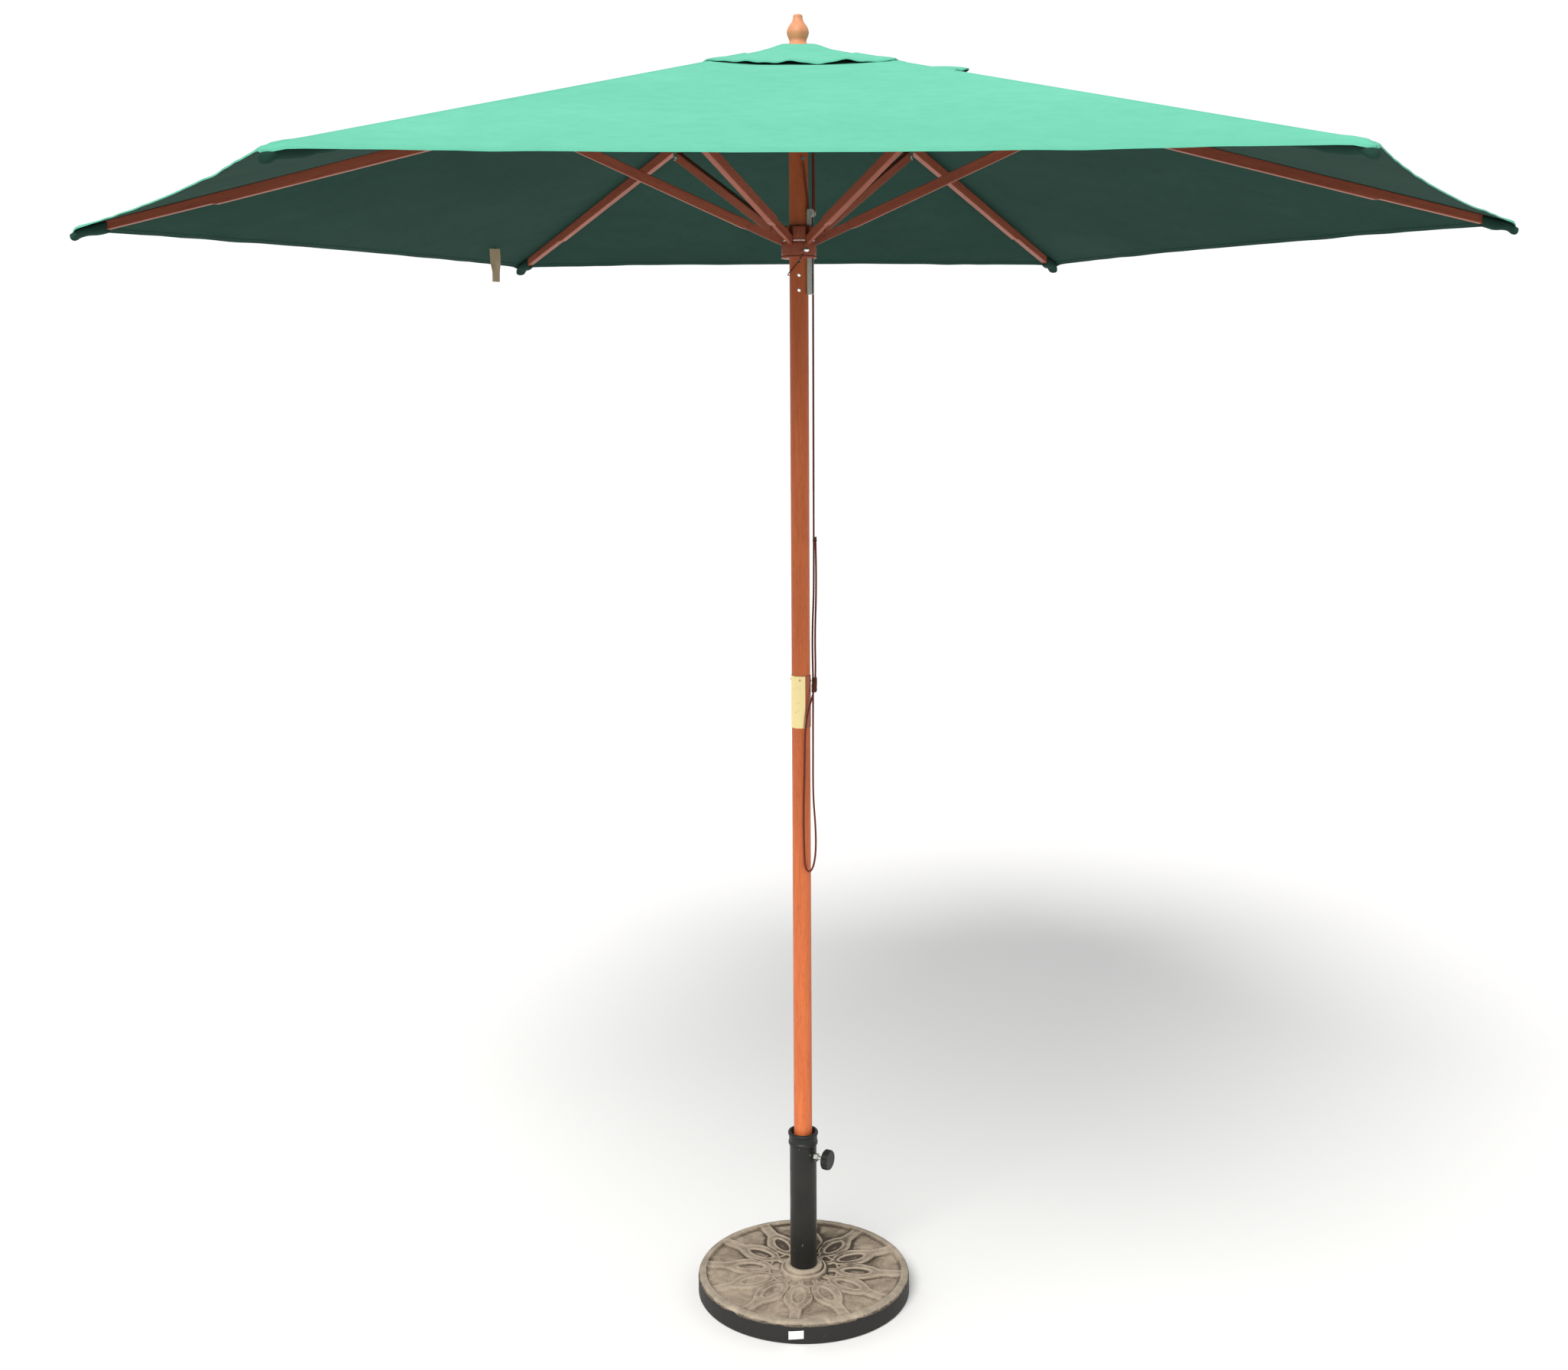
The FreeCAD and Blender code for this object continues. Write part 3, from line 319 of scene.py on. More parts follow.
# ------------------------------------------------------------------ materials
def wood(name, axis, light, mid, dark, rough=0.46, coat=0.07, shade=None):
    w = Mat(name, mid, rough)
    fibre = w.noise(520, w.coords((1, 1, 26), axis), 4, 0.65)
    streak = w.noise(70, w.coords((1, 1, 12), axis), 3, 0.55, 0.6)
    band = w.noise(9, w.coords((1, 1, 5), axis), 2, 0.5)
    pores = w.range(w.noise(900, w.coords((1, 1, 16), axis), 2, 0.5), 0.60, 0.72)
    c = w.mix(w.range(streak, 0.32, 0.70), mid, light)
    c = w.mix(w.range(fibre, 0.50, 0.74, 0.0, 0.55), c, dark)
    c = w.mix(w.range(band, 0.42, 0.68, 0.0, 0.35), c, dark)
    c = w.mix(w.math("MULTIPLY", pores, 0.45), c, tuple(v * 0.35 for v in dark))
    scuff = w.range(w.noise(60, w.coords((1, 1, 3), axis), 5, 0.7), 0.66, 0.74, 0.0, 0.35)
    c = w.mix(scuff, c, tuple(min(1, v * 1.15 + 0.04) for v in light))
    if shade:
        # painted shade: the colour darkens towards the pole's top (object Z from shade[0] to shade[1]), standing in for
        # the canopy's shade
        sx = w.t.nodes.new("ShaderNodeSeparateXYZ")
        w.put(sx.inputs[0], w.coords())
        c = w.mix(w.range(sx.outputs["Z"], shade[0], shade[1], 0.0, 0.62), c, tuple(v * 0.42 for v in mid))
    w.set("Base Color", c)
    w.set("Roughness", w.range(fibre, 0.3, 0.8, rough - 0.08, rough + 0.16))
    w.set("Coat Weight", coat)
    w.set("Specular IOR Level", 0.25)
    w.set("Coat Roughness", 0.28)
    w.set("Normal", w.bump(w.math("SUBTRACT", fibre, w.math("MULTIPLY", pores, 0.8)), 0.22, 0.0006))
    return w.m


STAIN = ((0.70, 0.178, 0.053), (0.60, 0.140, 0.041), (0.36, 0.070, 0.022))
# painted shade: a darker copy of the pole stain for the crown, runner, ribs and struts, standing in for the shade under
# the canopy
STAIN_PAINTED_SHADE = ((0.335, 0.088, 0.044), (0.265, 0.066, 0.033), (0.15, 0.036, 0.020))
assign("lower_pole", wood("wood_lower_pole", (0, 0, 1), *STAIN))
assign("upper_pole", wood("wood_upper_pole", (0, 0, 1), *STAIN, shade=(1.75, 2.22)))
assign("crown_hub", wood("wood_crown", (1, 0.2, 0.1), *STAIN_PAINTED_SHADE))
assign("finial", wood("wood_finial", (0, 0, 1), (0.80, 0.355, 0.190), (0.70, 0.275, 0.135), (0.46, 0.150, 0.068)))
wood_runner = wood("wood_runner", (0, 0, 1), *STAIN_PAINTED_SHADE)
for i in range(6):
    a = rad(60 * i)
    s0 = rad(13.8)
    assign("rib_%d" % (i + 1), wood("wood_rib_%d" % (i + 1), (math.cos(a) * math.cos(s0), math.sin(a) * math.cos(s0), -math.sin(s0)), *STAIN_PAINTED_SHADE))
    s1 = rad(24.707)
    assign("strut_%d" % (i + 1), wood("wood_strut_%d" % (i + 1), (math.cos(a) * math.cos(s1), math.sin(a) * math.cos(s1), math.sin(s1)), *STAIN_PAINTED_SHADE))


def metal(name, color, rough, scratch=0.5, grime=(0.1, 0.08, 0.05), grime_amount=0.25, scale=1.0):
    w = Mat(name, color, rough, 1.0)
    fine = w.noise(900 * scale, w.coords((1, 1, 0.12)), 3, 0.6)
    spots = w.range(w.noise(130 * scale, None, 5, 0.7), 0.56, 0.72, 0.0, grime_amount)
    w.set("Base Color", w.mix(spots, w.mix(w.range(fine, 0.3, 0.7, 0, 0.25), color, tuple(v * 0.7 for v in color)), grime))
    w.set("Roughness", w.range(fine, 0.25, 0.75, rough - 0.07, rough + 0.14))
    w.set("Normal", w.bump(fine, 0.10 * scratch, 0.0004))
    return w.m


steel = metal("worn_steel", (0.52, 0.55, 0.50), 0.38, grime=(0.12, 0.09, 0.06), grime_amount=0.5)
chrome = metal("bright_steel", (0.82, 0.82, 0.80), 0.2, 0.3, grime_amount=0.12)
brass = metal("ferrule_brass", (0.96, 0.80, 0.40), 0.36, 0.6, (0.35, 0.20, 0.06), 0.30)
# painted shade: the sleeve's +X side, beyond x = 7.8 to 8.8 mm, is coloured brown and made non-metal, standing in for
# the cord's shadow on the brass
bt = brass.node_tree
bb = [n for n in bt.nodes if n.type == "BSDF_PRINCIPLED"][0]
sep = bt.nodes.new("ShaderNodeSeparateXYZ")
crd = bt.nodes.new("ShaderNodeTexCoord")
bt.links.new(crd.outputs["Object"], sep.inputs[0])
shaded_side_mask = bt.nodes.new("ShaderNodeMapRange")
shaded_side_mask.inputs["From Min"].default_value = 0.0078
shaded_side_mask.inputs["From Max"].default_value = 0.0088
bt.links.new(sep.outputs["X"], shaded_side_mask.inputs["Value"])
painted_shade_mix = bt.nodes.new("ShaderNodeMix")
painted_shade_mix.data_type = "RGBA"
bt.links.new(shaded_side_mask.outputs[0], painted_shade_mix.inputs[0])
bt.links.new(bb.inputs["Base Color"].links[0].from_socket, painted_shade_mix.inputs[6])
painted_shade_mix.inputs[7].default_value = (0.36, 0.085, 0.030, 1)
bt.links.new(painted_shade_mix.outputs[2], bb.inputs["Base Color"])
lit_side_metallic = bt.nodes.new("ShaderNodeMath")
lit_side_metallic.operation = "SUBTRACT"
lit_side_metallic.inputs[0].default_value = 1.0
bt.links.new(shaded_side_mask.outputs[0], lit_side_metallic.inputs[1])
bt.links.new(lit_side_metallic.outputs[0], bb.inputs["Metallic"])
for i in range(6):
    assign("strut_clevis_%d" % (i + 1), steel)
for n in ("tube_bolt", "clamp_boss", "clamp_pad", "crown_wire", "top_pulley_bracket", "runner_pulley_strap"):
    assign(n, steel)
for n in ("clamp_screw", "cord_anchor_screw", "runner_wire", "lock_pin"):
    assign(n, chrome)
assign("pole_ferrule", brass)
assign("ferrule_nails", metal("nail_brass", (0.62, 0.42, 0.16), 0.4, 0.4, (0.12, 0.06, 0.02), 0.5))

w = Mat("black_tube_paint", (0.030, 0.030, 0.028), 0.42)
w.set("Specular IOR Level", 0.3)
chips = w.range(w.noise(95, w.coords((1, 1, 2.5)), 6, 0.72), 0.66, 0.70)
dust = w.range(w.noise(14, None, 4, 0.6), 0.42, 0.75, 0.0, 0.5)
w.set("Base Color", w.mix(chips, w.mix(dust, (0.014, 0.014, 0.013), (0.040, 0.036, 0.031)), (0.20, 0.18, 0.15)))
w.set("Roughness", w.range(dust, 0.0, 0.5, 0.34, 0.62))
w.set("Normal", w.bump(w.math("SUBTRACT", w.math("MULTIPLY", w.noise(380, None, 3, 0.6), 0.6), chips), 0.28, 0.0008))
assign("stand_tube", w.m)


def plastic(name, color, rough, grain=700, dust=(0.25, 0.23, 0.2), amount=0.12):
    w = Mat(name, color, rough)
    w.set("Specular IOR Level", 0.35)
    g = w.noise(grain, None, 2, 0.5)
    w.set("Base Color", w.mix(w.range(w.noise(40, None, 5, 0.65), 0.5, 0.8, 0, amount), color, dust))
    w.set("Roughness", w.range(g, 0.3, 0.7, rough - 0.08, rough + 0.12))
    w.set("Normal", w.bump(g, 0.12, 0.0005))
    return w.m


black = plastic("black_plastic", (0.012, 0.012, 0.012), 0.42, amount=0.05)
for n in ("tube_collar", "clamp_knob", "pole_foot"):
    assign(n, black)
white_plastic = plastic("sheave_plastic", (0.72, 0.73, 0.69), 0.34, amount=0.3)
assign("top_pulley_sheave", white_plastic)
assign("runner_pulley_sheave", white_plastic)


def rope(name, base, dark, light):
    w = Mat(name, base, 0.85)
    ang = w.math("ARCTAN2", w.attr("turn_sin"), w.attr("turn_cos"))
    ph = w.math("ADD", w.math("MULTIPLY", ang, 6.0), w.math("MULTIPLY", w.attr("along"), 2 * math.pi / 0.0018))
    braid = w.math("SINE", ph)
    fuzz = w.noise(1500, None, 3, 0.7)
    c = w.mix(w.range(braid, -1, 1, 0, 0.6), base, dark)
    c = w.mix(w.range(fuzz, 0.55, 0.75, 0, 0.5), c, light)
    w.set("Base Color", c)
    w.set("Specular IOR Level", 0.12)
    w.set("Normal", w.bump(w.math("ADD", braid, fuzz), 0.35, 0.0005))
    return w.m


cord_mat = rope("brown_cord", (0.180, 0.044, 0.030), (0.075, 0.019, 0.014), (0.30, 0.095, 0.062))
# partly fibre fuzz, partly painted highlight: a darker copy of the brown cord whose fibre flecks are golden, standing
# in for sunlit glints on the knot
knot_cord_painted_glint = rope("knot_cord", (0.12, 0.044, 0.026), (0.045, 0.016, 0.012), (0.55, 0.34, 0.12))
string_mat = rope("tether_string", (0.030, 0.020, 0.017), (0.012, 0.008, 0.007), (0.10, 0.07, 0.05))

# ------------------------------------------------------------------ cords
TAIL = [(29.5, 11.5, 2472.02), (29.5, 11.5, 2477.9), (29.5, 15.6, 2482.0), (29.5, 21.4, 2482.0), (29.5, 25.5, 2477.9),
    (29.47, 25.5, 2453.9), (28.29, 25.59, 1594.0),
    (28.2, 25.6, 1530.0), (27.6, 26.2, 1466.0), (25.0, 21.5, 1412.0), (24.2, 14.0, 1366.0), (24.6, 6.0, 1326.0), (25.0, 0.6, 1288.0),
    (24.6, -3.4, 1246.0), (24.2, -6.2, 1196.0), (24.0, -8.4, 1146.0), (23.6, -10.0, 1094.0), (24.4, -12.6, 1048.0), (27.4, -15.4, 1010.0),
    (28.8, -17.4, 974.0), (28.4, -18.4, 948.0), (26.2, -19.6, 926.0), (22.2, -20.8, 910.5), (16.2, -22.2, 903.0), (9.8, -23.2, 905.5),
    (6.2, -23.6, 916.5), (4.8, -23.8, 936.0), (3.8, -24.0, 972.0), (3.4, -24.0, 1026.0), (4.6, -23.9, 1076.0), (6.2, -23.7, 1126.0),
    (6.8, -23.8, 1172.0), (8.8, -23.8, 1210.0), (13.6, -22.0, 1236.0), (20.0, -16.4, 1257.0), (26.0, -9.0, 1275.0), (29.2, -3.4, 1296.0),
    (30.2, 3.6, 1324.0), (29.8, 12.2, 1364.0), (30.4, 20.2, 1410.0), (32.4, 24.6, 1458.0), (33.0, 27.6, 1512.0), (32.6, 28.2, 1558.0),
    (32.0, 28.2, 1586.0)]
tail_line, tail_length = nurbs_line(TAIL, 1.3)
tail = tube("hoist_cord_tail_rope", tail_line, 0.002, 12, [cord_mat], strands=3, pitch=0.016, depth=0.07)
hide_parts("hoist_cord_tail")
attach(tail, "upper_pole")


def wrap(name, centre, r, height, turns, thick, seed, lean=(0, 0)):
    """A lashing: turns of cord wound round the two strands, with tapered ends."""
    rng = np.random.default_rng(seed)
    pts = []
    n = int(turns * 10)
    for i in range(n + 1):
        f = i / n
        a = 2 * math.pi * turns * f
        rr = r * (0.82 + 0.18 * math.sin(math.pi * min(1, max(0, f))) ** 0.5) + rng.uniform(-0.35, 0.35)
        z = centre[2] - height / 2 + height * f + 0.9 * math.sin(a + 0.6) + rng.uniform(-0.3, 0.3)
        pts.append((centre[0] + lean[0] * (f - 0.5) + rr * math.cos(a), centre[1] + lean[1] * (f - 0.5) + rr * math.sin(a), z))
    line, _ = nurbs_line(pts, 0.9)
    return tube(name, line, thick / 2 * mm, 10, [knot_cord_painted_glint], strands=3, pitch=0.010, depth=0.08)


knot_mid = wrap("cord_lashing", (27.3, -1.5, 1288.0), 4.5, 30.0, 7, 3.8, 11, (1.0, 2.5))
knot_top = wrap("cord_end_knot", (30.3, 27.0, 1584.0), 3.2, 11.0, 3, 3.2, 5)
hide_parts("cord_knot")
for k in (knot_mid, knot_top):
    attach(k, "upper_pole")

RUNS = [(8.41, -23.12, 2344.6), (15.58, -14.55, 2288.5), (18.71, -10.8, 2264.0), (18.71, -10.8, 2239.1), (22.26, -12.85, 2235.0), (27.28, -15.75, 2235.0),
        (30.83, -17.8, 2239.1), (30.83, -17.8, 2264.0), (30.67, -14.31, 2288.7), (29.5, 11.5, 2471.5)]
runs_line, _ = nurbs_line(RUNS, 1.3)
runs = tube("hoist_cord_strands", runs_line, 0.0019, 12, [cord_mat], strands=3, pitch=0.016, depth=0.07, taper=False)
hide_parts("hoist_cord_runs")
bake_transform(runs)

pd = (math.cos(rad(280)), math.sin(rad(280)))
TETHER = [(pd[0] * 46.0, pd[1] * 46.0, 2161.8), (2.0, -37.0, 2150.0), (-8.0, -27.0, 2138.0), (-17.5, -16.5, 2128.0), (-23.0, -3.5, 2121.0),
          (-20.5, 10.5, 2120.0), (-10.5, 20.5, 2125.0), (1.5, 24.5, 2134.0), (4.0, 26.0, 2144.0), (4.0, 26.2, 2152.9)]
tether_line, tether_length = nurbs_line(TETHER, 1.0)
tether = tube("lock_pin_string", tether_line, 0.0009, 8, [string_mat], strands=2, pitch=0.006, depth=0.08)
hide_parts("lock_pin_tether")
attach(tether, "runner")

# ------------------------------------------------------------------ cloth materials
def cloth(name, base, deep, pale, sheen, rough):
    w = Mat(name, base, rough)
    wx = w.wave(300, None, "X", 0.6)
    wy = w.wave(300, None, "Y", 0.6)
    weave = w.math("MULTIPLY", wx, wy)
    slub = w.noise(260, w.coords((8, 1, 1)), 3, 0.6)
    fade = w.noise(2.2, None, 4, 0.6)
    mottle = w.noise(28, None, 5, 0.65)
    stain = w.range(w.noise(7, None, 6, 0.72, 0.5), 0.62, 0.74, 0.0, 0.22)
    c = w.mix(w.range(fade, 0.35, 0.68), base, pale)
    c = w.mix(w.range(mottle, 0.42, 0.72, 0.0, 0.22), c, deep)
    c = w.mix(w.range(weave, 0.0, 1.0, 0.22, 0.0), c, deep)
    c = w.mix(stain, c, deep)
    hem = w.attr("hem_d")
    fold = w.range(hem, 0.0175, 0.0190, 0.16, 0.0)
    c = w.mix(fold, c, deep)
    seam = w.attr("seam_v")
    c = w.mix(w.range(seam, 0.0062, 0.0072, 0.20, 0.0), c, deep)
    st = w.math("MAXIMUM", w.stitch(hem, 0.0160, 0.0005, w.attr("edge_s"), 0.0042), w.stitch(seam, 0.0050, 0.0005, w.attr("rib_u"), 0.0042))
    st = w.math("MAXIMUM", st, w.stitch(w.attr("patch_d"), 0.0030, 0.0006, w.attr("rib_u"), 0.0042))
    c = w.mix(w.math("MULTIPLY", st, 0.75), c, pale)
    w.set("Base Color", c)
    w.set("Roughness", rough)
    w.set("Specular IOR Level", sheen)
    h = w.math("ADD", w.math("MULTIPLY", weave, 0.5), w.math("MULTIPLY", slub, 0.35))
    n1 = w.bump(h, 0.30, 0.0005)
    crease = w.noise(26, w.coords((1, 1, 1)), 6, 0.62, 1.4)
    n2 = w.bump(crease, 0.16, 0.004, n1)
    w.set("Normal", w.bump(w.math("MULTIPLY", st, -1.0), 0.5, 0.0008, n2))
    return w.m


top_cloth = cloth("canopy_top_cloth", (0.138, 0.535, 0.372), (0.080, 0.38, 0.255), (0.165, 0.585, 0.420), 0.18, 0.80)
# painted shade: the underside cloth is a near-black copy of the top cloth, standing in for the shade under the canopy
under_cloth_painted_shade = cloth("canopy_under_cloth", (0.0165, 0.050, 0.037), (0.010, 0.031, 0.024), (0.023, 0.062, 0.047), 0.05, 0.90)

# ------------------------------------------------------------------ canopy
RIDGE0, K = 2574.991, 0.24562
C30, T30 = math.cos(rad(30)), math.tan(rad(30))
KG = K / C30
# gores are named by the azimuth of their middle: 30, 90, 150, 210, 270, 330
SAG_OUT = [14.0, 13.0, 14.0, 7.0, 16.0, 7.0]
HOLLOW = [50.0, 50.0, 50.0, 36.0, 45.0, 34.0]


def canopy_top(X, Y, mgore, rib_az, f):
    """Height of the cloth's upper face over plan points of one gore, f from 0 at the vent to 1 at the hem."""
    mu = rad(30 + 60 * mgore)
    xp = X * math.cos(mu) + Y * math.sin(mu)
    t = -X * math.sin(mu) + Y * math.cos(mu)
    q = np.clip(np.abs(t) / np.maximum(xp * T30, 1e-6), 0, 1)
    S = 8.0 + (SAG_OUT[mgore] - 8.0) * f ** 2
    z = RIDGE0 - KG * xp - S * (1 - q ** 2)
    env = np.sin(math.pi * q) ** 2
    z = z + env * (1.3 * swell(X, Y, 21 + mgore, 420) + 0.35 * swell(X, Y, 31 + mgore, 120))
    ra = rad(rib_az)
    u = X * math.cos(ra) + Y * math.sin(ra)
    v = -X * math.sin(ra) + Y * math.cos(ra)
    d = np.hypot(1450 - u, v)
    phi = np.arctan2(np.abs(v), 1450 - u + 1e-9)
    z = z + 1.5 * np.exp(-d / 170) * np.sin(11 * phi) * smooth(6, 40, d)
    droop = smooth(1430, 1452, u) * np.exp(-(v / 34.0) ** 2)
    z = z - 9.0 * droop
    # puckers along the hem
    z = z + 0.5 * np.sin(t / 19.0 + 2 * np.sin(t / 90.0)) * smooth(0.93, 1.0, f) * env
    return z


def half_gore(name, rib, side, inner, outer, hollow, zfun, thick, hem, ribs_off, rows_in, rows_out, nrow, ncol, mats, seam_high, patch=None):
    """Half a gore beside rib 1..6, side +1 or -1, as one thin closed sheet."""
    rib_az = 60.0 * (rib - 1)
    mgore = (rib - 1) if side > 0 else (rib - 2) % 6
    mu = rad(rib_az + 30 * side)
    offs = list(ribs_off)
    cols = len(offs) + ncol
    xin = inner * C30
    grid_x, grid_t, F, HD, SV, EDGE, RU, RV = [], [], [], [], [], [], [], []
    main = np.linspace(0, 1, nrow + 1)
    nrows = len(rows_in) + (nrow - 1) + len(rows_out)
    X = np.zeros((nrows, cols)); Y = X.copy(); Fm = X.copy(); HDm = X.copy()
    for j in range(cols):
        # position across: offset from the ridge for the first columns, then a share of what is left
        def column(xp):
            tm = xp * T30
            if j < len(offs):
                return tm - min(offs[j] / C30, tm * (0.02 + 0.02 * j))
            first = min(offs[-1] / C30, tm * (0.02 + 0.02 * (len(offs) - 1)))
            g = (j - len(offs) + 1) / ncol
            return (tm - first) * (1 - g)
        xo = outer * C30
        b = 1 - column(xo) / (xo * T30)
        xo = outer * C30 - hollow[mgore] * (1 - (1 - b) ** 2)
        corner = max(0.0, 1 - (b * outer * 0.5) / 20.0)
        xo -= 3.5 * corner ** 2
        span = xo - xin
        vals = list(rows_in) + list(rows_in[-1] + (span - rows_in[-1] - rows_out[0]) * main[1:-1]) + [span - r for r in rows_out]
        for i, d_in in enumerate(vals):
            xp = xin + d_in
            t = column(xp)
            tt = -side * t
            X[i, j] = xp * math.cos(mu) - tt * math.sin(mu)
            Y[i, j] = xp * math.sin(mu) + tt * math.cos(mu)
            Fm[i, j] = d_in / span
            HDm[i, j] = min(span - d_in, 1e3) if True else 0
    ra = rad(rib_az)
    U = X * math.cos(ra) + Y * math.sin(ra)
    Vv = np.abs(-X * math.sin(ra) + Y * math.cos(ra))
    Z = zfun(X, Y, mgore, rib_az, Fm)
    seam = seam_high * (1 - smooth(5.2, 6.8, Vv))
    hemt = 1 - smooth(17.6, 19.0, HDm)
    ztop = Z + seam + 0.25 * hemt * (1 if hem else 0)
    zbot = Z - thick - (hem * hemt)
    pd_ = np.full_like(X, 9.0)
    if patch:
        pl, pw = patch
        e = np.hypot((U - (outer - 4)) / pl, Vv / pw)
        inside = 1 - smooth(0.95, 1.0, e)
        ztop = ztop + 0.8 * inside
        zbot = zbot - 0.9 * inside
        pd_ = (1 - e) * min(pl, pw) * mm
    n = nrows * cols
    verts = np.concatenate([np.stack([X.ravel(), Y.ravel(), ztop.ravel()], 1), np.stack([X.ravel(), Y.ravel(), zbot.ravel()], 1)]) * mm
    faces, fm = [], []

    def idx(i, j, low=False):
        return i * cols + j + (n if low else 0)
    flip = side < 0
    for i in range(nrows - 1):
        for j in range(cols - 1):
            f = (idx(i, j), idx(i + 1, j), idx(i + 1, j + 1), idx(i, j + 1))
            g = (idx(i, j, True), idx(i, j + 1, True), idx(i + 1, j + 1, True), idx(i + 1, j, True))
            faces += [f, g]
            fm += [0, 1]
    loop = [(i, 0) for i in range(nrows)] + [(nrows - 1, j) for j in range(1, cols)] + [(i, cols - 1) for i in range(nrows - 2, -1, -1)] + [(0, j) for j in range(cols - 2, 0, -1)]
    for a, b2 in zip(loop, loop[1:] + loop[:1]):
        faces.append((idx(*a), idx(*a, True), idx(*b2, True), idx(*b2)))
        fm.append(0)
    if flip:
        faces = [tuple(reversed(f)) for f in faces]
    o = mesh(name, verts, faces, mats, fm, sharp=32)
    two = lambda q: np.concatenate([q.ravel(), q.ravel()])
    attribute(o, "hem_d", two(HDm * mm) if hem else np.full(2 * n, 1.0))
    attribute(o, "seam_v", two(Vv * mm))
    attribute(o, "rib_u", two(U * mm))
    tcoord = -X * math.sin(mu) + Y * math.cos(mu)
    attribute(o, "edge_s", two((tcoord + 2000) * mm))
    attribute(o, "patch_d", two(pd_))
    top_n = (nrows - 1) * (cols - 1)
    # half of the closed sheet's surface is the cloth's
    co = verts
    tri = []
    area = 0.0
    for f, g in zip(faces[0:2 * top_n:2], faces[0:2 * top_n:2]):
        p = co[list(f)]
        area += 0.5 * np.linalg.norm(np.cross(p[1] - p[0], p[2] - p[0])) + 0.5 * np.linalg.norm(np.cross(p[2] - p[0], p[3] - p[0]))
    return o, mgore, mu, area


def fold_axis(rib, side, slope):
    ra = rad(60.0 * (rib - 1))
    mu = ra + rad(30) * side
    kg = math.tan(slope) / C30
    nrm = Vector((kg * math.cos(mu), kg * math.sin(mu), 1)).normalized()
    e = Vector((math.cos(ra) * math.cos(slope), math.sin(ra) * math.cos(slope), -math.sin(slope)))
    return nrm.cross(e).normalized()


for rib in range(1, 7):
    for side in (1, -1):
        tag = "left" if side > 0 else "right"
        o, mg, mu, area = half_gore("canopy_%d_%s" % (rib, tag), rib, side, 230.0, 1450.0, HOLLOW, canopy_top, 1.1, 1.3, (0.0, 5.2, 6.8),
                                    (0.0, 9.0, 12.0), (19.0, 17.6, 12.0, 6.0, 1.4, 0.0), 62, 34, [top_cloth, under_cloth_painted_shade], 0.6, (46.0, 36.0))
        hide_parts("canopy_panel_%d" % rib)
        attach(o, "rib_%d" % rib)
        ra = rad(60.0 * (rib - 1))
        fold_axis(rib, side, rad(13.8))
        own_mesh(o)

# pockets that hold the rib ends
for rib in range(1, 7):
    ra = rad(60.0 * (rib - 1))
    nu, nv = 20, 18
    verts = []
    for i in range(nu + 1):
        f = i / nu
        start = 1376.0 if rib < 5 else 1272.0
        u = start + (1451.5 - start) * (1 - (1 - f) ** 1.5)
        end_round = math.sqrt(max(0.02, 1 - max(0.0, (u - 1437.0) / 14.8) ** 2))
        half = (11.5 + 3.0 * smooth(1376, 1400, u) - 1.5 * smooth(1405, 1440, u)) * end_round
        deep = (25.0 - 4.5 * smooth(1396, 1425, u) + 0.7 * math.sin(0.13 * u + rib)) * end_round
        roof = RIDGE0 - K * u - 1.25 - 9.0 * smooth(1430, 1452, u)
        for k in range(nv):
            a = 2 * math.pi * k / nv
            cy, cz = math.cos(a), math.sin(a)
            y = half * math.copysign(abs(cy) ** 0.8, cy) * (1 + 0.04 * math.sin(3 * a + rib))
            z = roof - deep / 2 + (deep / 2) * math.copysign(abs(cz) ** 0.75, cz) - (0.14 * abs(y) if cz > 0 else 0.0)
            verts.append(((u * math.cos(ra) - y * math.sin(ra)) * mm, (u * math.sin(ra) + y * math.cos(ra)) * mm, z * mm))
    faces = []
    for i in range(nu):
        for k in range(nv):
            k2 = (k + 1) % nv
            faces.append((i * nv + k, (i + 1) * nv + k, (i + 1) * nv + k2, i * nv + k2))
    faces.append(tuple(range(nv)))
    faces.append(tuple(reversed(range(nu * nv, (nu + 1) * nv))))
    # painted shade: the pockets are coloured with the darkened underside cloth
    o = mesh("tip_pocket_%d" % rib, verts, faces, [under_cloth_painted_shade], sharp=50)
    for nm in ("hem_d", "seam_v", "patch_d", "rib_u", "edge_s"):
        attribute(o, nm, np.full(len(verts), 1.0))
    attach(o, "rib_%d" % rib)

# ------------------------------------------------------------------ vent cap
CAP_FLAT, CAP_R, CAP_Z = 47.0, 345.0, 2569.4
KC = (CAP_Z - 2493.6) / (CAP_R - CAP_FLAT)
CAP_HOLLOW = [9.0] * 6


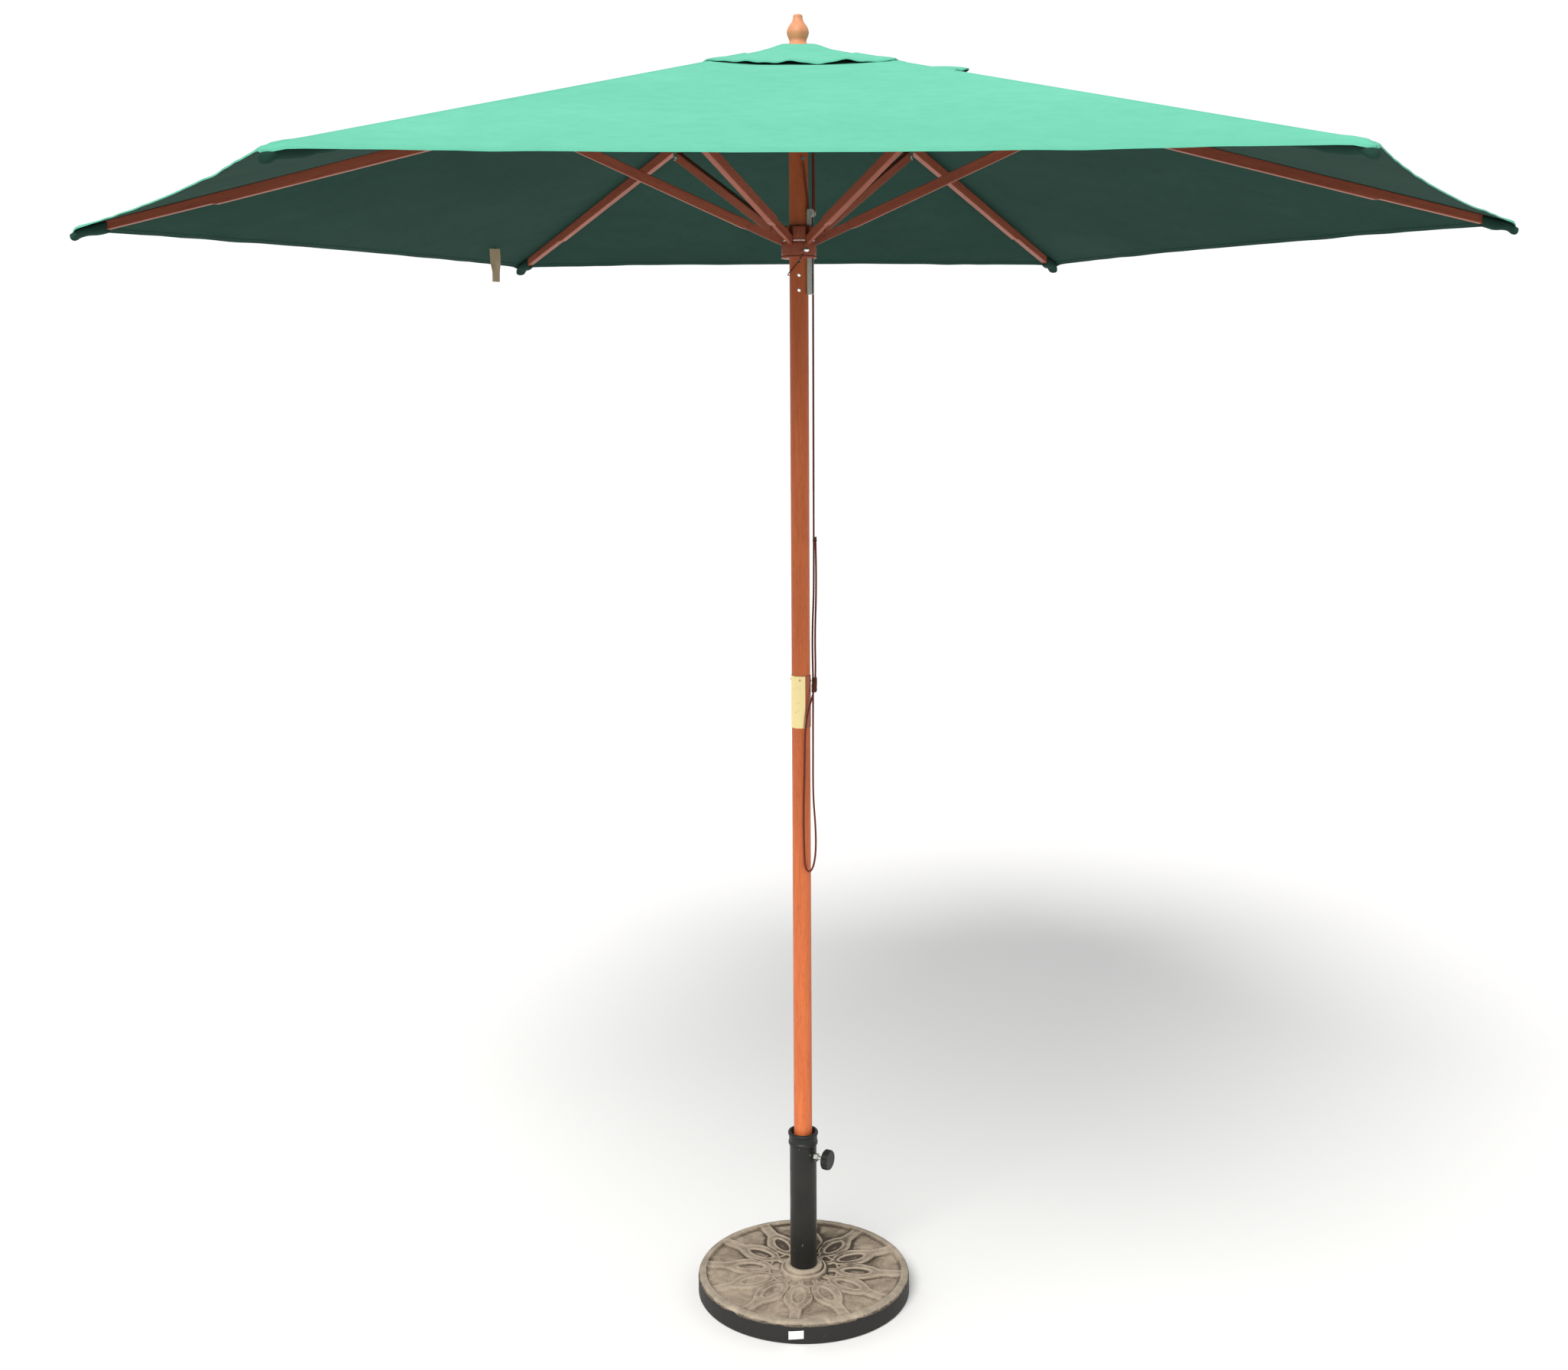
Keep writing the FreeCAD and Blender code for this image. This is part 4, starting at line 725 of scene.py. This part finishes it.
def cap_top(X, Y, mgore, rib_az, f):
    mu = rad(30 + 60 * mgore)
    xp = X * math.cos(mu) + Y * math.sin(mu)
    t = -X * math.sin(mu) + Y * math.cos(mu)
    q = np.clip(np.abs(t) / np.maximum(xp * T30, 1e-6), 0, 1)
    rho = xp / C30
    over = rho - CAP_FLAT
    z = CAP_Z - KC * 0.5 * (over + np.sqrt(over ** 2 + 14 ** 2)) + KC * 2.6
    z = np.minimum(z, CAP_Z)
    z = z - 5.0 * smooth(60, 130, rho) * (1 - smooth(210, 330, rho))
    g = smooth(120, 340, rho)
    z = z - 6.2 * g * (1 - q ** 2)
    edge = smooth(235, 345, rho)
    env = np.minimum(1, 1.25 * np.sin(math.pi * np.clip(q, 0, 1)) ** 0.8 + (1 - q) ** 2 * 0.9)
    wave = 2.6 * np.cos(2 * math.pi * (t + 8) / 58.0) + 1.3 * np.cos(2 * math.pi * t / 131.0 + mgore)
    if mgore == 4:
        wave = 4.2 * np.exp(-((t + 18) / 17.0) ** 2) + 5.2 * np.exp(-((t - 78) / 20.0) ** 2) + 1.6 * np.exp(-((t + 98) / 14.0) ** 2) - 2.0 * np.exp(-((t - 30) / 22.0) ** 2) - 2.2 * smooth(100, 150, t) + 0.7 * np.sin(t / 6.0)
    z = z + edge * env * wave
    # a loose corner stands up over rib 1
    az = np.arctan2(Y, X)
    r = np.hypot(X, Y)
    z = z + 31.0 * smooth(150, 350, r) * np.exp(-(az / rad(21)) ** 2)
    z = z + 4.0 * smooth(200, 345, r) * np.exp(-((np.abs(az) - math.pi) / rad(25)) ** 2)
    # never below the canopy under it
    floor_z = RIDGE0 - KG * xp - 8.0 * (1 - q ** 2) + 2.6
    return np.where(rho > 210, np.maximum(z, floor_z), z)


for rib in range(1, 7):
    for side in (1, -1):
        tag = "left" if side > 0 else "right"
        o, mg, mu, area = half_gore("vent_cap_%d_%s" % (rib, tag), rib, side, 11.0, CAP_R, CAP_HOLLOW, cap_top, 1.0, 1.1, (0.0, 4.2, 5.6),
                                    (0.0, 6.0, 12.0), (14.0, 12.6, 8.0, 1.4, 0.0), 34, 22, [top_cloth, under_cloth_painted_shade], 0.5, None)
        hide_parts("vent_cap_panel_%d" % rib)
        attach(o, "rib_%d" % rib)
        ra = rad(60.0 * (rib - 1))
        fold_axis(rib, side, rad(14.4))
        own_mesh(o)

# ------------------------------------------------------------------ cast base
R0 = 28.25
rr = np.concatenate([[R0, 29.2, 31, 33, 34.6, 35.4, 36.4, 37.6, 38.6, 39.6, 40.6, 41.6, 42.8, 43.8, 44.8, 45.8, 46.8, 47.8, 48.8, 49.8, 51],
                     np.arange(52.5, 203, 1.66), [203.8, 205, 206.2, 207.6, 210, 213, 215.5, 217.5, 219.2, 220.6, 221.4, 221.9]])
nphi = 720
phi = np.arange(nphi) * 2 * math.pi / nphi
RR, PP = np.meshgrid(rr, phi, indexing="ij")


def soft_min(a, b):
    return np.minimum(a, b)


def relief(R, P):
    loc = np.mod(P - rad(-97.0) + rad(15), rad(30)) - rad(15)
    xr, tt = R * np.cos(loc), R * np.sin(loc)
    gap = R * np.sin(rad(15)) * 1.0
    wob = 0.5 * swell(R * np.cos(P), R * np.sin(P), 3, 34)
    W = np.interp(R, [50, 66, 72, 80, 92, 106, 119, 132, 145, 155, 162, 172, 205], [6.5, 6.5, 12, 19, 25.5, 29.6, 31.2, 29.0, 23.5, 17.5, 13.2, 12.2, 12.0])
    petal = smooth(-0.9, 1.5, W + wob - np.abs(tt))
    field = 38.6
    z = field + 3.6 * petal
    # rounded petal sides and a raised rib along each spoke's edges
    z = z + 0.7 * petal * np.exp(-((W - np.abs(tt) - 2.6) / 1.7) ** 2)
    oval = np.hypot((xr - 112) / 27.0, tt / 11.5)
    z = z - 3.0 * (1 - smooth(0.86, 1.06, oval)) + 0.9 * np.exp(-((oval - 1.2) / 0.10) ** 2)
    # the joint between neighbouring petals
    near = gap - np.abs(tt)
    z = z - 2.6 * (1 - smooth(0.2, 2.4, near)) * smooth(70, 76, R) * (1 - smooth(124, 132, R))
    # hub side scallops between the short bars
    scal = smooth(51.5, 54, R) * (1 - smooth(66, 70, R)) * smooth(0.0, 2.0, np.abs(tt) - 6.5)
    z = z - 1.6 * scal
    collar = smooth(69, 71, R) * (1 - smooth(73.5, 75.5, R))
    z = np.maximum(z, 38.6 + 3.2 * collar)
    # ring of the rim
    rim = smooth(203.2, 206.4, R)
    z = z * (1 - rim) + rim * 44.6
    prof = np.interp(R, [28, 34.8, 36, 38.4, 39.8, 42.6, 44, 46.6, 48.4, 50.5], [54, 54, 52.6, 52.4, 47.4, 47.0, 48.6, 48.4, 44.0, 40.6])
    mixin = smooth(50.4, 52.8, R)
    z = prof * (1 - mixin) + z * mixin
    edge_drop = np.interp(R, [210, 213, 215.5, 217.5, 219.2, 220.6, 221.4, 221.9], [0, 0.25, 0.8, 1.9, 3.6, 6.2, 8.8, 11.6])
    z = z - edge_drop
    # casting unevenness and pits
    z = z + 0.22 * swell(R * np.cos(P), R * np.sin(P), 5, 26) + 0.16 * swell(R * np.cos(P), R * np.sin(P), 6, 7, 16)
    return z


ZZ = relief(RR, PP)
blur = ZZ.copy()
for _ in range(4):
    blur = (blur + np.roll(blur, 3, 1) + np.roll(blur, -3, 1)) / 3
    pad_ = np.pad(blur, ((2, 2), (0, 0)), "edge")
    blur = (pad_[:-4] + pad_[2:-2] + pad_[4:]) / 3
cav = np.clip((blur - ZZ) / 1.2, -1, 1)
nr = len(rr)
verts = [np.stack([RR * np.cos(PP), RR * np.sin(PP), ZZ], -1).reshape(-1, 3)]
lower = [(222.0, 30.0), (222.0, 22.0), (222.0, 12.0), (222.0, 3.0), (221.2, 1.2), (219.0, 0.0), (120.0, 0.0), (17.0, 0.0), (17.0, 12.0), (7.2, 12.0), (7.2, 30.0), (R0, 30.0)]
cav_all = [cav.ravel()]
for r_, z_ in lower:
    jit = 0.12 * np.sin(17 * phi) + 0.08 * np.sin(41 * phi + 1) if r_ > 220 and z_ > 2 else 0 * phi
    verts.append(np.stack([(r_ + jit - 0.15) * np.cos(phi), (r_ + jit - 0.15) * np.sin(phi), np.full(nphi, z_)], -1) if r_ > 220 else np.stack([r_ * np.cos(phi), r_ * np.sin(phi), np.full(nphi, z_)], -1))
    cav_all.append(np.zeros(nphi))
verts = np.concatenate(verts) * mm
rows = nr + len(lower)
i_, j_ = np.meshgrid(np.arange(rows), np.arange(nphi), indexing="ij")
a_ = i_ * nphi + j_
b_ = ((i_ + 1) % rows) * nphi + j_
c_ = ((i_ + 1) % rows) * nphi + (j_ + 1) % nphi
d_ = i_ * nphi + (j_ + 1) % nphi
faces = np.stack([a_, b_, c_, d_], -1).reshape(-1, 4)

w = Mat("cast_base", (0.4, 0.36, 0.3), 0.8)
cv = w.attr("cavity")
zz = w.attr("height")
rad_at = w.attr("radius")
grime = w.noise(22, None, 6, 0.72, 0.7)
fine = w.noise(420, None, 4, 0.7)
big = w.noise(6.5, None, 5, 0.65, 0.6)
c = w.mix(w.range(grime, 0.38, 0.66), (0.400, 0.325, 0.245), (0.190, 0.145, 0.105))
c = w.mix(w.range(fine, 0.52, 0.75, 0.0, 0.35), c, (0.50, 0.43, 0.33))
# darker blotches on the back half of the disc, which also deepen the darkening of the hollows
dark_patch = w.attr("dark_patch")
dark_where = w.math("ADD", w.math("MULTIPLY", cv, w.range(dark_patch, 0.0, 1.0, 0.55, 1.1)), w.math("MULTIPLY", w.math("SUBTRACT", big, 0.5), 1.1))
dark_where = w.math("ADD", dark_where, w.math("MULTIPLY", w.math("SUBTRACT", dark_patch, 0.28), 0.95))
c = w.mix(w.range(dark_where, 0.12, 0.75, 0.0, 0.88), c, (0.040, 0.029, 0.021))
rimdark = w.math("MULTIPLY", w.range(rad_at, 0.196, 0.2145), w.range(grime, 0.38, 0.62))
c = w.mix(w.math("MULTIPLY", rimdark, 0.92), c, (0.030, 0.024, 0.020))
worn = w.range(w.math("SUBTRACT", 0.0, cv), 0.15, 0.7, 0.0, 0.55)
c = w.mix(worn, c, (0.47, 0.40, 0.31))
side_black = w.mix(w.range(grime, 0.60, 0.72, 0.0, 0.7), (0.022, 0.021, 0.020), (0.13, 0.105, 0.085))
low_mask = w.range(w.math("ADD", zz, w.math("MULTIPLY", w.math("SUBTRACT", grime, 0.5), 0.020)), 0.0375, 0.0350)
lowm = w.math("MULTIPLY", low_mask, w.range(rad_at, 0.214, 0.2185))
c = w.mix(lowm, c, side_black)
w.set("Base Color", c)
w.set("Roughness", w.range(lowm, 0.0, 1.0, 0.88, 0.6))
w.set("Specular IOR Level", 0.25)
w.set("Normal", w.bump(w.math("ADD", w.math("MULTIPLY", fine, 0.5), w.math("MULTIPLY", grime, 0.6)), 0.45, 0.0012))
base = mesh("cast_disc", verts, faces, [w.m], sharp=48)
attribute(base, "cavity", np.concatenate(cav_all))
attribute(base, "height", verts[:, 2])
attribute(base, "radius", np.hypot(verts[:, 0], verts[:, 1]))
bx, by = verts[:, 0] / mm, verts[:, 1] / mm
attribute(base, "dark_patch", np.exp(-((bx - 95) ** 2 + (by - 25) ** 2) / 62.0 ** 2) + 0.9 * np.exp(-((bx + 20) ** 2 + (by - 120) ** 2) / 75.0 ** 2)
          + 0.6 * np.exp(-((bx - 60) ** 2 + (by - 110) ** 2) / 60.0 ** 2) + 0.35 * np.exp(-((bx + 90) ** 2 + (by - 60) ** 2) / 50.0 ** 2))
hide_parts("base_disc")
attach(base, "stand")

# blank paper label on the rim's side
nu, nv = 14, 8
verts, lab = [], Mat("label_paper", (0.86, 0.86, 0.84), 0.6)
pn = lab.noise(160, None, 4, 0.6)
lab.set("Base Color", lab.mix(lab.range(pn, 0.45, 0.75, 0, 0.5), (0.90, 0.90, 0.88), (0.60, 0.56, 0.50)))
lab.set("Normal", lab.bump(pn, 0.2, 0.0004))
for layer in (0.62, 0.22):
    for i in range(nu + 1):
        for k in range(nv + 1):
            s = -15 + 30 * i / nu
            zt = 11.2 + 16.6 * k / nv + 0.10 * s + (0.9 if (i == 0 and k == nv) else 0)
            lift = 0.35 * max(0, (abs(s) - 12) / 3) ** 2 if layer > 0.4 else 0.0
            a = rad(264.5) + s / 222.0
            r_ = 222.0 + layer + lift
            verts.append((r_ * math.cos(a) * mm, r_ * math.sin(a) * mm, zt * mm))
n1 = (nu + 1) * (nv + 1)
faces = []
g = lambda i, k, l: l * n1 + i * (nv + 1) + k
for i in range(nu):
    for k in range(nv):
        faces.append((g(i, k, 0), g(i + 1, k, 0), g(i + 1, k + 1, 0), g(i, k + 1, 0)))
        faces.append((g(i, k, 1), g(i, k + 1, 1), g(i + 1, k + 1, 1), g(i + 1, k, 1)))
loop = [(i, 0) for i in range(nu + 1)] + [(nu, k) for k in range(1, nv + 1)] + [(i, nv) for i in range(nu - 1, -1, -1)] + [(0, k) for k in range(nv - 1, 0, -1)]
for a, b2 in zip(loop, loop[1:] + loop[:1]):
    faces.append((g(*a, 0), g(*a, 1), g(*b2, 1), g(*b2, 0)))
label = mesh("blank_label", verts, faces, [lab.m], sharp=40)
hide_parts("base_label")
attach(label, "stand")

# ------------------------------------------------------------------ runner hub: closed drum below, six segments above
prof = [(20.35, 2153.2), (22.0, 2153.0), (34.4, 2153.0), (35.7, 2154.2), (35.7, 2156.6), (34.0, 2158.0), (34.0, 2159.6), (35.4, 2161.0), (35.6, 2170.0), (35.4, 2179.0),
        (34.9, 2181.8), (33.9, 2182.9), (33.7, 2184.0), (33.8, 2198.0), (33.8, 2211.5), (32.8, 2215.0), (30.0, 2216.8), (24.0, 2217.0), (21.6, 2216.8), (20.35, 2215.6)]
angles = []
half_w = 4.8
for k in range(6):
    c0 = 60.0 * k
    angles += [(c0, "slot", 0), (c0, "slot", 1), (c0, "land", 1)]
    angles += [(c0 + q, "free", 0) for q in np.arange(12, 49, 3)]
    angles += [(c0 + 60, "land", -1), (c0 + 60, "slot", -1)]
verts = []
for az, kind, sgn in angles:
    for r_, z_ in prof:
        r2, z2 = r_, z_
        if kind == "slot" and z_ > 2183.2:
            if z_ < 2184.5:
                r2, z2 = 24.6, 2183.4
            else:
                r2 = min(r_, 24.0)
                z2 = z_ if r_ <= 24.1 else min(z_, 2216.0)
                if r_ > 24.1:
                    z2 = 2184.4 + (z_ - 2184.0) * 0.97
        if kind == "slot" and 2182.0 < z_ < 2183.2:
            r2 = 33.9
        off = 0.0
        if sgn:
            wd = half_w - (0.03 if kind == "slot" else 0.0)
            off = sgn * math.degrees(math.asin(min(0.9, wd / max(r2, 20.0))))
        a = rad(az + off)
        verts.append((r2 * math.cos(a) * mm, r2 * math.sin(a) * mm, z2 * mm))
nP, nA = len(prof), len(angles)
faces = [(j * nP + i, ((j + 1) % nA) * nP + i, ((j + 1) % nA) * nP + (i + 1) % nP, j * nP + (i + 1) % nP) for j in range(nA) for i in range(nP)]
hub = mesh("runner_drum", verts, faces, [wood_runner], sharp=30)
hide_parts("runner_hub")
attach(hub, "runner")

# ------------------------------------------------------------------ hang tag: folded card on a thread
tagm = Mat("tag_card", (0.42, 0.33, 0.21), 0.8)
tn = tagm.noise(420, tagm.coords((1, 1, 3)), 4, 0.65)
tagm.set("Base Color", tagm.mix(tagm.range(tn, 0.4, 0.7, 0, 0.5), (0.44, 0.34, 0.22), (0.30, 0.22, 0.13)))
tagm.set("Normal", tagm.bump(tn, 0.25, 0.0005))
tp = np.array([-748.7, 965.5])
nu, nv = 8, 30
verts = []
for layer in (0.45, -0.45):
    for k in range(nv + 1):
        f = k / nv
        z = 2245.0 - 83.0 * f
        ang = rad(30.0 + 26.0 * smooth(0.35, 0.75, f))
        bend = 2.0 * math.sin(math.pi * f) + 3.0 * max(0, f - 0.48)
        wdt = 28.0 - 1.5 * f
        for i in range(nu + 1):
            s = (i / nu - 0.5) * wdt
            curl = 0.9 * (2 * i / nu - 1) ** 2 * (1 - f)
            d = np.array([math.cos(ang), math.sin(ang)])
            nn = np.array([math.sin(ang), -math.cos(ang)])
            p = tp + d * (s + 1.5 * f) + nn * (bend + curl + layer)
            verts.append((p[0] * mm, p[1] * mm, z * mm))
n1 = (nu + 1) * (nv + 1)
g = lambda k, i, l: l * n1 + k * (nu + 1) + i
faces = []
for k in range(nv):
    for i in range(nu):
        faces.append((g(k, i, 0), g(k + 1, i, 0), g(k + 1, i + 1, 0), g(k, i + 1, 0)))
        faces.append((g(k, i, 1), g(k, i + 1, 1), g(k + 1, i + 1, 1), g(k + 1, i, 1)))
loop = [(k, 0) for k in range(nv + 1)] + [(nv, i) for i in range(1, nu + 1)] + [(k, nu) for k in range(nv - 1, -1, -1)] + [(0, i) for i in range(nu - 1, 0, -1)]
for a, b2 in zip(loop, loop[1:] + loop[:1]):
    faces.append((g(a[0], a[1], 0), g(b2[0], b2[1], 0), g(b2[0], b2[1], 1), g(a[0], a[1], 1)))
card = mesh("swing_tag", verts, faces, [tagm.m], sharp=40)
thr_line, _ = nurbs_line([(tp[0], tp[1], 2243.0), (tp[0] + 0.5, tp[1] - 0.6, 2245.6), (tp[0] + 1.4, tp[1] - 1.0, 2248.0), (tp[0] + 1.0, tp[1] - 0.5, 2251.4)], 0.8)
thread = tube("tag_thread", thr_line, 0.00055, 8, [string_mat])
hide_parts("hang_tag")
for o in (card, thread):
    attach(o, "rib_3")

# ------------------------------------------------------------------ floor and light
fl = Mat("floor_pale", (0.90, 0.90, 0.895), 0.85)
fl.set("Specular IOR Level", 0.1)
floor = mesh("floor", [(-14, -9, -0.0006), (14, -9, -0.0006), (14, 26, -0.0006), (-14, 26, -0.0006)], [(0, 1, 2, 3)], [fl.m])
world = bpy.data.worlds.new("studio")
scene.world = world
world.use_nodes = True
bg = world.node_tree.nodes["Background"]
bg.inputs[0].default_value = (1.0, 1.0, 1.0, 1)
bg.inputs[1].default_value = 0.66
seen = world.node_tree.nodes.new("ShaderNodeBackground")
seen.inputs[1].default_value = 1.02
path = world.node_tree.nodes.new("ShaderNodeLightPath")
pick = world.node_tree.nodes.new("ShaderNodeMixShader")
world.node_tree.links.new(path.outputs["Is Camera Ray"], pick.inputs[0])
world.node_tree.links.new(bg.outputs[0], pick.inputs[1])
seen.inputs[0].default_value = (1.0, 1.0, 1.0, 1)
world.node_tree.links.new(seen.outputs[0], pick.inputs[2])
world.node_tree.links.new(pick.outputs[0], world.node_tree.nodes["World Output"].inputs["Surface"])


def sun(name, az, el, strength, spread, color=(1, 1, 1)):
    d = bpy.data.lights.new(name, "SUN")
    d.energy = strength
    d.angle = rad(spread)
    d.color = color
    o = bpy.data.objects.new(name, d)
    scene.collection.objects.link(o)
    v = Vector((math.cos(rad(az)) * math.cos(rad(el)), math.sin(rad(az)) * math.cos(rad(el)), math.sin(rad(el))))
    o.rotation_euler = v.to_track_quat("Z", "Y").to_euler()
    return o


sun("key", -112, 46, 2.9, 34, (1.0, 0.985, 0.96))
